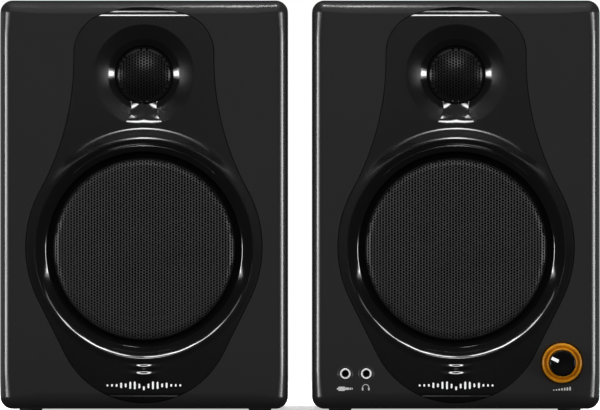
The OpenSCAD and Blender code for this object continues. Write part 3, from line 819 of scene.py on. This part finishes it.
def perforated(radius, hole_r, thick, depth, border=0.0):
    """A sheet of six-sided cells, each with a round hole of 12 sides, wrapped onto a depth that is
    a function of radius. The holes stand in columns, every second column half a step lower. Cells
    whose middle lies in the border have no hole."""
    across, down = 2 * COLUMN_STEP, HOLE_STEP
    rows, columns = int(radius / down) + 2, int(radius / across) + 2
    centres = grid(np.arange(-columns, columns + 1) * across, np.arange(-rows, rows + 1) * down)
    centres = np.vstack([centres, centres + [across / 2, down / 2]])
    centres = centres[np.hypot(*centres.T) < radius - 0.3 * down]
    tip = (across**2 + down**2) / (4 * across)
    shoulder = (across**2 - down**2) / (4 * across)
    half = down / 2
    corner = np.array([
        (tip, 0), (shoulder, half), (-shoulder, half), (-tip, 0), (-shoulder, -half), (shoulder, -half),
    ])
    hole = circle((0, 0), hole_r, 12)
    cell = np.vstack([corner, hole])
    flat = (centres[:, None, :] + cell[None]).reshape(-1, 2)
    r = np.hypot(*flat.T)
    flat = flat * (np.minimum(r, radius) / np.maximum(r, 1e-9))[:, None]
    front = at_depth(flat, depth(np.minimum(r, radius)))
    back = front + [0, thick, 0]
    n = len(flat)
    faces = []
    plain = np.hypot(*centres.T) > radius - border
    for base in range(0, n, 18):
        if plain[base // 18]:
            faces.append(tuple(range(base, base + 6)))
            faces.append(tuple(range(base + n + 5, base + n - 1, -1)))
            continue
        for k in range(6):
            a, b = base + k, base + (k + 1) % 6
            h = [base + 6 + (2 * k + i) % 12 for i in range(3)]
            faces.append((a, b, h[2], h[1], h[0]))
            faces.append((a + n, h[0] + n, h[1] + n, h[2] + n, b + n))
            faces.extend((h[i], h[i + 1], h[i + 1] + n, h[i] + n) for i in range(2))
    verts = np.vstack([front, back])
    _, first, same = np.unique(np.round(verts, 3), axis=0, return_index=True, return_inverse=True)
    same = same.ravel()
    return verts[first], [tuple(same[i] for i in f) for f in faces]


def woofer_sheet_depth(r):
    """Flat to a tight bend near the rim, then a steep flank down to the frame."""
    bend_r, bend, slope = 47.3, 1.1, 0.5
    past = np.clip(r - bend_r, 0, bend)
    return 2.0 + slope * past**2 / (2 * bend) + slope * np.maximum(r - bend_r - bend, 0)


def tweeter_sheet_depth(r):
    base, sag, rim = 4.3, 5.2, 16.0
    ball = (rim**2 + sag**2) / (2 * sag)
    return base - sag + ball - np.sqrt(np.maximum(ball**2 - r**2, 0))


def grilles(kind, centre, sheet, rim, segments, finish):
    """For each speaker, a perforated sheet in a turned rim. The sheet's measures go to perforated. The rim
    is near-black, painted shade.
    """
    verts, faces = perforated(*sheet)
    verts = verts + [centre[0], 0, centre[1]]
    for side in SIDES:
        shape = Shape().add(verts, faces)
        shape.turn(rim, centre, segments, 1)
        stand_in(side + "_" + kind + "_mesh", shape, side + "_" + kind + "_grille", side, [finish, PAINTED_SHADE])


WOOFER_RIM = from_edge(GRILLE_R, 0, (0, 6.5), (0, 3.5), (-0.2, 3.2))
WOOFER_RIM += [(50.5, 3.1), (50.4, 3.6), (50.4, 6.5), (GRILLE_R, 6.5)]
TWEETER_RIM = [(16.2, 5.0), (16.2, 3.6), (15.9, 3.2), (15.3, 3.3), (15.1, 3.8), (15.1, 5.0), (16.2, 5.0)]
WOOFER_SHEET = (50.6, 0.68, 0.8, woofer_sheet_depth)
TWEETER_SHEET = (15.7, 0.7, 0.5, tweeter_sheet_depth, 1.3)
grilles("woofer", WOOFER, WOOFER_SHEET, WOOFER_RIM, 180, FINISH["grille_mesh"])
grilles("tweeter", TWEETER, TWEETER_SHEET, TWEETER_RIM, 96, SHADED_FINE_MESH)


# ---- controls and marks on the front

def volume_knob():
    """A gloss cap with a slim waist and a white pointer let into its face."""
    lo, hi = local_box("volume_knob", "right")
    r, front, back = (hi.x - lo.x) / 2, lo.y, hi.y
    cap = [(3.2, back), (r, back)] + from_edge(
        r, front, (0, 3.4), (-0.25, 3.2), (-0.25, 2.8), (0, 2.6), (0, 0.9), (-0.12, 0.5), (-0.4, 0.18),
        (-0.8, 0.02), (-1.1, 0),
    )
    shape = Shape().turn(cap + [(r * 0.5, front + 0.18), (0, front + 0.24)], KNOB, 128)
    turn = math.radians(90 + POINTER_ANGLE)
    along = np.array([math.cos(turn), math.sin(turn)])
    bar = rounded_loop(0.9, 2.15, 0.25, 4) @ np.array([[along[1], -along[0]], along])
    shape.raised(KNOB + along * (r - 0.35 - 2.15) + bar, front + 0.3, 0.3, paint=1)
    finishes = [FINISH["knob_gloss"], INK]
    stand_in("volume_knob_cap", shape, "volume_knob", "right", finishes, "volume_control", 30)


def amber_ring():
    """The lit ring round the knob: two pale rims with a darker groove between them. The groove and the
    bore take a darker amber copy: painted shade.
    """
    lo, hi = local_box("knob_ring", "right")
    outer, front = (hi.x - lo.x) / 2 - 0.45, lo.y
    outer_rim = [
        (-1.0, 8), (-1.0, 3.8), (0, 3.8), (0, 1.4), (-0.25, 0.8), (-0.7, 0.45), (-1.15, 0.5), (-1.5, 0.85),
    ]
    groove = [(-1.5, 0.85), (-1.9, 1.1), (-2.4, 1.15), (-2.75, 0.7)]
    inner_rim = [(-2.75, 0.7), (-2.95, 0.2), (-3.3, 0), (-3.6, 0.2), (-3.8, 0.6)]
    bore = [(-3.8, 0.6), (-3.9, 1.2), (-3.9, 8)]
    shape = Shape()
    for paint, profile in ((0, outer_rim), (1, groove), (0, inner_rim), (1, bore)):
        shape.turn(from_edge(outer, front, *profile), KNOB, 128, paint)
    finishes = [FINISH["ring_amber"], AMBER_SHADE]
    stand_in("amber_ring", shape, "knob_ring", "right", finishes, angle=50)


def jack_collars():
    """A bright ring round each front socket, near-black inside: the socket's own black with painted shade.
    """
    collar = [(0, 1.9), (0, 0.25), (-0.08, 0.08), (-0.18, 0), (-0.86, 0), (-0.95, 0.1)]
    bore = [(-0.95, 0.1), (-1.05, 0.7), (-1.19, 1.0), (-1.19, 1.9)]
    shape = Shape()
    for at in JACKS:
        for paint, profile in enumerate((collar, bore)):
            shape.turn(from_edge(JACK_R, JACKS_LOW.y, *profile), at, 64, paint)
    stand_in("jack_collars", shape, "jack_rings", "right", [RING_METAL, PAINTED_SHADE])


def waveform(side):
    """A row of rounded bars across the chin of the inlay, like a sound wave."""
    shape = Shape()
    width, bars, bar_w, z = 42.0, 17, 1.05, 13.4
    for k in range(bars):
        t = k / (bars - 1)
        swell = 0.25 + 0.75 * math.sin(math.pi * t) ** 1.5
        height = 5.4 * swell * (0.45 + 0.55 * abs(math.cos(1.9 * (k - (bars - 1) / 2))))
        x = (t - 0.5) * (width - bar_w)
        loop = rounded_loop(bar_w / 2, max(height / 2, bar_w / 2), bar_w / 2 - 0.001, 6, (x, z))
        shape.raised(loop, inlay_depth(np.array([(x, z)]))[0] + SINK, FINE_TALL)
    make(side + "_waveform", shape, [INK], side)


def front_symbols():
    """A jack plug and headphones over the two sockets' names, and a swelling wedge under the knob."""
    shape = Shape()
    plug_x, phones_x = (at[0] - 0.3 for at in JACKS)
    plug = [(-4.5, -3.6, 0.4), (-3.6, 0.1, 1.2), (0.1, 2.4, 0.65), (2.7, 3.5, 0.65), (3.8, 4.5, 0.5)]
    for x0, x1, half in plug:
        middle = (plug_x + (x0 + x1) / 2, 11.5)
        shape.raised(rounded_loop((x1 - x0) / 2, half, 0.25, 4, middle), SINK, FLAT_TALL)
    crown = (phones_x, 12.1)
    band = np.vstack([arc(crown, 2.0, 0, 180, 20), arc(crown, 1.6, 180, 0, 20)])
    shape.raised_strip(band, SINK, FLAT_TALL)
    for way in (-1, 1):
        ear = rounded_loop(0.45, 0.85, 0.35, 4, (phones_x + way * 1.75, 11.4))
        shape.raised(ear, SINK, FLAT_TALL)
    for k in range(7):
        height = 0.5 + 1.6 * k / 6
        at = (KNOB[0] - 4.6 + k * 1.53, 10.5 + height / 2)
        shape.raised(rounded_loop(0.45, height / 2, 0.2, 4, at), SINK, FLAT_TALL)
    make("front_symbols", shape, [PALE_INK], "right")


volume_knob()
amber_ring()
jack_collars()
front_symbols()
for side in SIDES:
    waveform(side)


# ---- cabinet and rear

def cabinet_shell(side):
    """The wrapped case: rounded long edges, a softened rear rim and the walls' inner faces."""
    lo, hi = local_box(side + "_cabinet", side)
    half_w, half_h, r = (hi.x - lo.x) / 2, (hi.z - lo.z) / 2, 6.0
    middle = np.array([0, (hi.z + lo.z) / 2])
    wall, rim_r, back, front = 9.0, 1.2, hi.y, lo.y
    steps = [(0.0, front), (0.0, back - rim_r)]
    steps += [
        (rim_r * (1 - math.cos(a)), back - rim_r * (1 - math.sin(a)))
        for a in np.radians(np.arange(15, 91, 15))
    ]
    steps += from_edge(wall, back, (-0.5, 0), (-0.15, -0.15), (0, -0.5))
    steps += [(wall, front), (0.0, front)]
    loops = []
    for inset, y in steps:
        loop = rounded_loop(half_w - inset, half_h - inset, max(r - inset, 0.8), 12)
        loops.append(at_depth(loop + middle, y))
    shape = Shape().loft(loops, outward=True)
    stand_in(side + "_shell", shape, side + "_cabinet", side, angle=40)


def port_flare(side):
    """The reflex port: a tube that flares out into a round-edged flange."""
    lo, hi = local_box(side + "_port_tube", side)
    flange_r, back, inner = (hi.x - lo.x) / 2, hi.y, lo.y
    centre = np.array([0, (hi.z + lo.z) / 2])
    bore, flare_r, thick = 15.5, 8.0, 2.0
    profile = [(flange_r, 0.0)] + from_edge(flange_r, -thick, (0, 0.7), (-0.2, 0.2), (-0.7, 0))
    wide, deep = flare_r * 0.9, flare_r * 1.5
    profile.append((bore + wide, -thick))
    for a in np.radians(np.arange(10, 91, 8)):
        profile.append((bore + wide * (1 - math.sin(a)), -thick + deep * (1 - math.cos(a))))
    end = back - thick - inner
    profile += [(bore, end), (bore + 1.8, end), (bore + 1.8, 0.0), (flange_r, 0.0)]
    shape = Shape().turn(profile, centre, 128).turned_round(back - thick)
    stand_in(side + "_port", shape, side + "_port_tube", side, angle=30)


def islands(mesh):
    """The boxes, low and high, of a mesh's separate solids."""
    ends = np.array([e.vertices[:] for e in mesh.edges]).T
    solid, last = np.arange(len(mesh.vertices)), None
    while not np.array_equal(solid, last):
        last = solid.copy()
        for a, b in (ends, ends[::-1]):
            np.minimum.at(solid, a, last[b])
    at = np.array([v.co for v in mesh.vertices])
    return [(at[solid == k].min(0), at[solid == k].max(0)) for k in np.unique(solid)]


def screw_heads(side):
    """Every screw, at its CAD solid's place: a domed head with a cross recess, and a thread."""
    shape = Shape()
    origin = np.array(ORIGIN[side])
    found = islands(nodes[side + "_screws"].data)
    for low, high in sorted(found, key=lambda box: tuple(np.round(box[0], 6))):
        low, high = (low - origin) / MM, (high - origin) / MM
        centre, r = (low[::2] + high[::2]) / 2, (high[0] - low[0]) / 2
        shape.join(screw(centre, r, high[1], low[1]))
    stand_in(side + "_fixings", shape, side + "_screws", side, angle=40)


def screw(centre, r, head_y, tip_y):
    tall, blade, depth_in = 0.6 * r, 0.17 * r, 0.38 * r

    def height(p):
        d = (p - centre) / r
        dome = 0.62 * tall * np.hypot(d[:, 0], d[:, 1]) ** 2.4
        near, far = np.sort(np.abs(d) * r, axis=1).T
        arm = 0.62 * r * (1 - 0.25 * near / blade)
        recess = smooth((blade - near) / 0.12 + 0.5) * smooth((arm - far) / 0.3)
        return dome + depth_in * recess

    rows = np.arange(-0.62 * r, 0.63 * r, r / 17)
    points = grid(rows, rows) + centre
    rim = circle(centre, r, 40)
    head = Shape().add(*sheet([rim], points, height, 0.05))
    base = tall * 0.62
    head.turn([(r * 0.45, tall), (r, tall), (r, base)], centre, 40)
    length = head_y - tip_y
    thread = [(0, length), (r * 0.2, length - r * 0.5)]
    for y in np.arange(length - r * 0.5, tall, -r * 0.35):
        thread += [(r * 0.36, y), (r * 0.46, y - r * 0.17)]
    head.turn(thread + [(r * 0.45, tall)], centre, 16)
    return head.turned_round(head_y)


def softened(node, body, width):
    """A copy of a CAD node with its sharp edges rounded over."""
    bm = bmesh.new()
    bm.from_mesh(nodes[node].data)
    bmesh.ops.remove_doubles(bm, verts=bm.verts, dist=1e-6)
    bmesh.ops.dissolve_limit(bm, angle_limit=math.radians(0.6), verts=bm.verts, edges=bm.edges)
    limit = math.radians(30)
    sharp = [e for e in bm.edges if len(e.link_faces) == 2 and e.calc_face_angle() > limit]
    bmesh.ops.bevel(
        bm, geom=sharp, offset=width * MM, segments=3, profile=0.5, affect="EDGES", clamp_overlap=True
    )
    bmesh.ops.triangulate(bm, faces=[f for f in bm.faces if len(f.verts) > 4])
    mesh = bpy.data.meshes.new(node + "_soft")
    bm.to_mesh(mesh)
    bm.free()
    shade(mesh, 34)
    mesh.materials.append(FINISH[SLOT_OF[node]])
    piece = place(node + "_detailed", mesh, None, body, node)
    piece.modifiers.new("even", "WEIGHTED_NORMAL").keep_sharp = True


def soften_rear():
    """The sockets, the rocker, the terminals and their levers. The line inputs' sleeves end a little
    short, so that their insulators stay inside the CAD's box."""
    for node, width in SOFT_EDGES.items():
        softened(node, BODY["right"], width)
    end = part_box("line_inputs")[1].y - BAND_PROUD * MM
    for v in bpy.data.objects["line_inputs_detailed"].data.vertices:
        v.co.y = min(v.co.y, end)
    softened("power_rocker", "rocker", ROCKER_EDGE)
    for side in SIDES:
        softened(side + "_terminal_cup", BODY[side], CUP_EDGE)
        for colour in ("red", "black"):
            node = side + "_" + colour + "_lever"
            softened(node, node + "_body", LEVER_EDGE)


def plus(centre, arm, half):
    """The outline of a plus sign."""
    corner = np.array([(half, half), (half, arm), (-half, arm), (-half, half)])
    angles = np.radians((0, 90, 180, 270))
    turns = [np.array([[math.cos(a), math.sin(a)], [-math.sin(a), math.cos(a)]]) for a in angles]
    return np.vstack([corner[:3] @ t for t in turns]) + centre


def framed(half_w, half_h, r, width, centre):
    """Two rails round a rounded rectangle, for raised_strip."""
    outer = rounded_loop(half_w, half_h, r, 6, centre)
    inner = rounded_loop(half_w - width, half_h - width, max(r - width, 0.1), 6, centre)
    return np.vstack([outer, outer[:1], inner[:1], inner[::-1]])


def terminal_marks(side):
    """A plus over the red lever and a minus over the black one."""
    top = local_box(side + "_terminal_cup", side)[1]
    shape = Shape()
    for colour in ("red", "black"):
        at = np.array([centre_of(side + "_" + colour + "_lever", side).x, top.z - 5.0])
        mark = plus(at, 1.9, 0.32) if colour == "red" else rounded_loop(1.9, 0.32, 0.1, 3, at)
        shape.raised(mark, 0, MARK_TALL)
    shape.turned_round(top.y)
    make(side + "_terminal_marks", shape, [INK], side)


def amp_marks():
    """Fine white frames round each group of sockets, a wave beside the mains inlet and an arrow
    over the line inputs."""
    inlet, switch = centre_of("power_inlet", "right"), centre_of("power_switch", "right")
    lines, port = centre_of("line_inputs", "right"), centre_of("usb_port", "right")
    shape = Shape()
    low, high = inlet.z - 12.5, switch.z + 14.5
    frames = [
        (14.6, (high - low) / 2, ((inlet.x + switch.x) / 2, (low + high) / 2)),
        (9.5, 9.5, port.xz), (22, 12.5, lines.xz),
    ]
    for half_w, half_h, middle in frames:
        shape.raised_strip(framed(half_w, half_h, 3, 0.45, middle), 0, FINE_TALL)
    t = np.linspace(-1, 1, 24)
    wave = np.column_stack([3.2 * t, 1.1 * np.sin(math.pi * t)]) + [inlet.x, inlet.z + 14.5]
    shape.raised_strip(np.vstack([wave + [0, -0.25], wave[::-1] + [0, 0.25]]), 0, FINE_TALL)
    half = [(0, -2.2), (1.6, -0.2), (0.4, -0.2), (0.4, 2.2)]
    arrow = np.array(half + [(-x, z) for x, z in half[:0:-1]])
    shape.raised(arrow + [lines.x, lines.z + 17.5], 0, MARK_TALL)
    shape.turned_round(PLATE_Y)
    make("amp_marks", shape, [INK], "right")


def line_bands():
    """A coloured washer under each line input and an insulator in its mouth: one white, one red."""
    lo, hi = local_box("line_inputs", "right")
    washer = [(7.0, 0), (7.0, -0.35), (6.8, -0.5), (5.7, -0.5), (5.7, 0)]
    tip = BAND_PROUD - (hi.y - PLATE_Y)
    end = tip - BAND_PROUD
    insulator = [(3.35, tip), (3.35, tip - 0.02), (3.2, end), (1.9, end), (1.75, tip)]
    shape = Shape()
    for x, paint in ((lo.x + 5.6, 0), (hi.x - 5.6, 1)):
        at = np.array([x, (lo.z + hi.z) / 2])
        shape.turn(washer, at, 64, paint)
        shape.turn(insulator, at, 48, paint)
    shape.turned_round(PLATE_Y)
    make("line_bands", shape, [INK, RED_BAND], "right")


def rocker_marks():
    """A bar and a ring moulded on the two halves of the rocker's dished face."""
    lo, hi = local_box("power_rocker", "right")
    pivot = np.array([(lo.x + hi.x) / 2, PLATE_Y - 1, (lo.z + hi.z) / 2])
    tilt = math.radians(ROCKER_TILT)
    c, s = math.cos(tilt), math.sin(tilt)
    turn = np.array([[1, 0, 0], [0, c, s], [0, -s, c]])
    shape = Shape()

    def dished(points, lift):
        y = 2.6 + 0.175 * np.abs(points[:, 1]) + lift
        return np.column_stack([points[:, 0], y, points[:, 1]]) @ turn + pivot

    bar = rounded_loop(0.35, 1.7, 0.1, 3, (0, 4.4))
    shape.loft([dished(bar, -0.1), dished(bar, 0.06)], outward=True)
    shape.add(dished(bar, 0.06), [tuple(range(len(bar)))[::-1]])
    wide, narrow = circle((0, -4.4), 1.75, 40), circle((0, -4.4), 1.2, 40)
    ring = [(wide, -0.1), (wide, 0.06), (narrow, 0.06), (narrow, -0.1)]
    shape.loft([dished(*row) for row in ring], outward=True)
    make("rocker_marks", shape, [INK], "right", "rocker")


for side in SIDES:
    cabinet_shell(side)
    port_flare(side)
    screw_heads(side)
    terminal_marks(side)
soften_rear()
amp_marks()
line_bands()
rocker_marks()


# ---- camera, lights and floor

def area_light(name, at, size, radiance, aim):
    light = bpy.data.lights.new(name, "AREA")
    light.shape = "RECTANGLE"
    light.size, light.size_y = size
    light.energy = radiance * math.pi * size[0] * size[1]
    lamp = add_object(name, light)
    lamp.location = at
    lamp.visible_camera = False
    lamp.rotation_euler = (Vector(aim) - Vector(at)).to_track_quat("-Z", "Y").to_euler()
    return lamp


def camera():
    """A long lens, square to the faces, that frames the pair's full width at its widest plane."""
    data = bpy.data.cameras.new("camera")
    data.lens = 400
    data.sensor_width = 36
    data.clip_end = 60
    lo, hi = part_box("right_front_baffle")
    widest_y = lo.y + SIDE_EDGE_R * MM
    width = 2 * hi.x + VIEW_MARGIN * MM
    cam = add_object("camera", data)
    distance = width * data.lens / data.sensor_width
    cam.location = (0, widest_y - distance, (lo.z + hi.z) / 2 - VIEW_DROP * MM)
    cam.rotation_euler = (math.pi / 2, 0, 0)
    bpy.context.scene.camera = cam


def world():
    """White behind the object, soft and even for its matt parts. Its reflections are dim, and
    darker away from the front."""
    made = bpy.data.worlds.new("studio")
    bpy.context.scene.world = made
    made.use_nodes = True
    tree = made.node_tree
    tree.nodes.clear()
    out = new_node(tree, "OutputWorld")
    path = new_node(tree, "LightPath").outputs
    where = new_node(tree, "TexCoord").outputs["Generated"]

    def backdrop(strength=1.0):
        return new_node(tree, "Background", Color=(1, 1, 1, 1), Strength=strength)

    def either(value, *pair):
        mix = new_node(tree, "MixShader", Fac=value)
        for socket, choice in zip(mix.inputs[1:], pair):
            tree.links.new(choice.outputs[0], socket)
        return mix

    axes = new_node(tree, "SeparateXYZ", Vector=where)
    facing = tree.nodes.new("ShaderNodeVectorMath")
    facing.operation = "DOT_PRODUCT"
    tilt = math.radians(GLOW_TILT)
    facing.inputs[1].default_value = (0, math.cos(tilt), -math.sin(tilt))
    tree.links.new(where, facing.inputs[0])
    ahead = facing.outputs["Value"]
    glow = map_range(tree, ahead, -0.9997, -0.9945, FRONT_GLOW, REST_GLOW, "SMOOTHSTEP")
    sky = map_range(tree, axes.outputs["Z"], -0.35, 0.3, 0.02, SKY, "SMOOTHSTEP")
    even = backdrop(sky)
    soft = either(path["Is Glossy Ray"], even, backdrop(glow))
    seen = either(path["Is Camera Ray"], soft, backdrop())
    tree.links.new(seen.outputs[0], out.inputs["Surface"])


def floor():
    """A pale disc that fades out into the white around it."""
    mesh = bpy.data.meshes.new("floor")
    rim = circle((0, 0), FLOOR_R, 96)
    mesh.from_pydata([(x, y, 0) for x, y in rim], [], [tuple(range(len(rim)))])
    n = Nodes("pale_floor")
    n.link(n.mixed(n.noise(3, 2), 0.86, 0.9), n.shader.inputs["Base Color"])
    n.rough(n.noise(8, 2), 0.6, 0.7)
    middle = new_node(n.tree, "VectorMath")
    middle.operation = "LENGTH"
    n.link(n.where, middle.inputs[0])
    n.link(n.spread(middle.outputs["Value"], 1, 0, 0.2, FLOOR_R - 0.1), n.shader.inputs["Alpha"])
    n.set(Emission_Color=(1, 1, 1, 1), Emission_Strength=0.55)
    mesh.materials.append(n.material)
    piece = add_object("floor", mesh)
    piece.visible_glossy = False
    piece.visible_diffuse = False


def light_only(lamp, pieces, keep_off=False):
    """Lets a lamp light nothing but the pieces, or everything but them."""
    group = bpy.data.collections.new(lamp.name + "_receivers")
    for piece in pieces:
        group.objects.link(piece)
    if keep_off:
        for member in group.collection_objects:
            member.light_linking.link_state = "EXCLUDE"
    lamp.light_linking.receiver_collection = group


def softbox(name, azimuth, elevation, distance, spread, rise, radiance, pieces, keep_off=False):
    """A softbox for some pieces, or for all but them. The faces see it at these angles, in degrees,
    with azimuth from straight ahead towards +X. Spread and rise are half its width and height."""
    a, e = math.radians(azimuth), math.radians(elevation)
    way = Vector((math.sin(a) * math.cos(e), -math.cos(a) * math.cos(e), math.sin(e)))
    size = tuple(2 * distance * math.tan(math.radians(half)) for half in (spread, rise))
    light_only(area_light(name, AIM + way * distance, size, radiance, AIM), pieces, keep_off)


def named(*ends):
    return [o for o in bpy.data.objects if o.name.endswith(ends)]


def studio():
    """The lamps: each inlay's own, then those that draw the ridge, the grilles, the sides and the rear."""
    inlays, meshes = named("_inlay"), named("_mesh")
    front = inlays + named("_front", "_mesh")
    for side, sign in zip(SIDES, (-1, 1)):
        inlay = named(side + "_inlay")
        ahead = sign * AHEAD
        for spread, radiance in FRONT_STRIPS:
            softbox("front_strip", ahead, 13, 6, spread, 3.6, radiance, inlay)
        for way in (-1, 1):
            softbox("side_spot", ahead + way * 56, 0, 5, 6, 3.4, 32, inlay)
            softbox("spot_edge", ahead + way * 56, 0, 5, 9, 6.4, 4, inlay)
            for offset, radiance in HALOS:
                softbox("halo", ahead + way * offset, 2, 5, 0.8, 1.2, radiance, inlay)
    for turn, radiance in UNDER_ARC:
        azimuth, elevation = (ARC_RADIUS * f(math.radians(turn)) for f in (math.sin, math.cos))
        softbox("under_arc", azimuth, elevation, 5, 5.5, 4, radiance, inlays)
    softbox("front_haze", 0, 26, 5, 14, 8, 0.22, inlays)
    softbox("mesh_strip", 0, 32, 5, 14, 9, 4, meshes)
    softbox("low_strip", 0, -27, 5, 2.4, 1.4, 4, inlays)
    softbox("front_soft", 0, 12, 6, 13, 4, 1.0, front, keep_off=True)
    for sign in (-1, 1):
        for azimuth, radiance in SIDE_BOXES:
            softbox("side_box", sign * azimuth, 0, 5, 7, 6.5, radiance, inlays + meshes, keep_off=True)
        softbox("mesh_side", sign * 62, 4, 5, 3, 6.5, 14, meshes)
        softbox("mesh_flank", sign * 54, 0, 5, 4, 14, 12, named("_woofer_mesh"))
        softbox("rear_box", 180 + sign * 40, 35, 4, 14, 14, 12, front, keep_off=True)
        softbox("side_fill", sign * 110, 0, 4, 30, 10, 0.4, inlays, keep_off=True)
    softbox("top_box", 0, 70, 3, 30, 42, 0.4, inlays, keep_off=True)
    streak = area_light("top_streak", (0, -0.2, 0.85), (0.12, 0.1), 26, (0, -0.09, 0.2))
    light_only(streak, meshes, keep_off=True)
    view = bpy.context.scene.view_settings
    view.view_transform, view.look = "Standard", "None"


camera()
world()
floor()
studio()
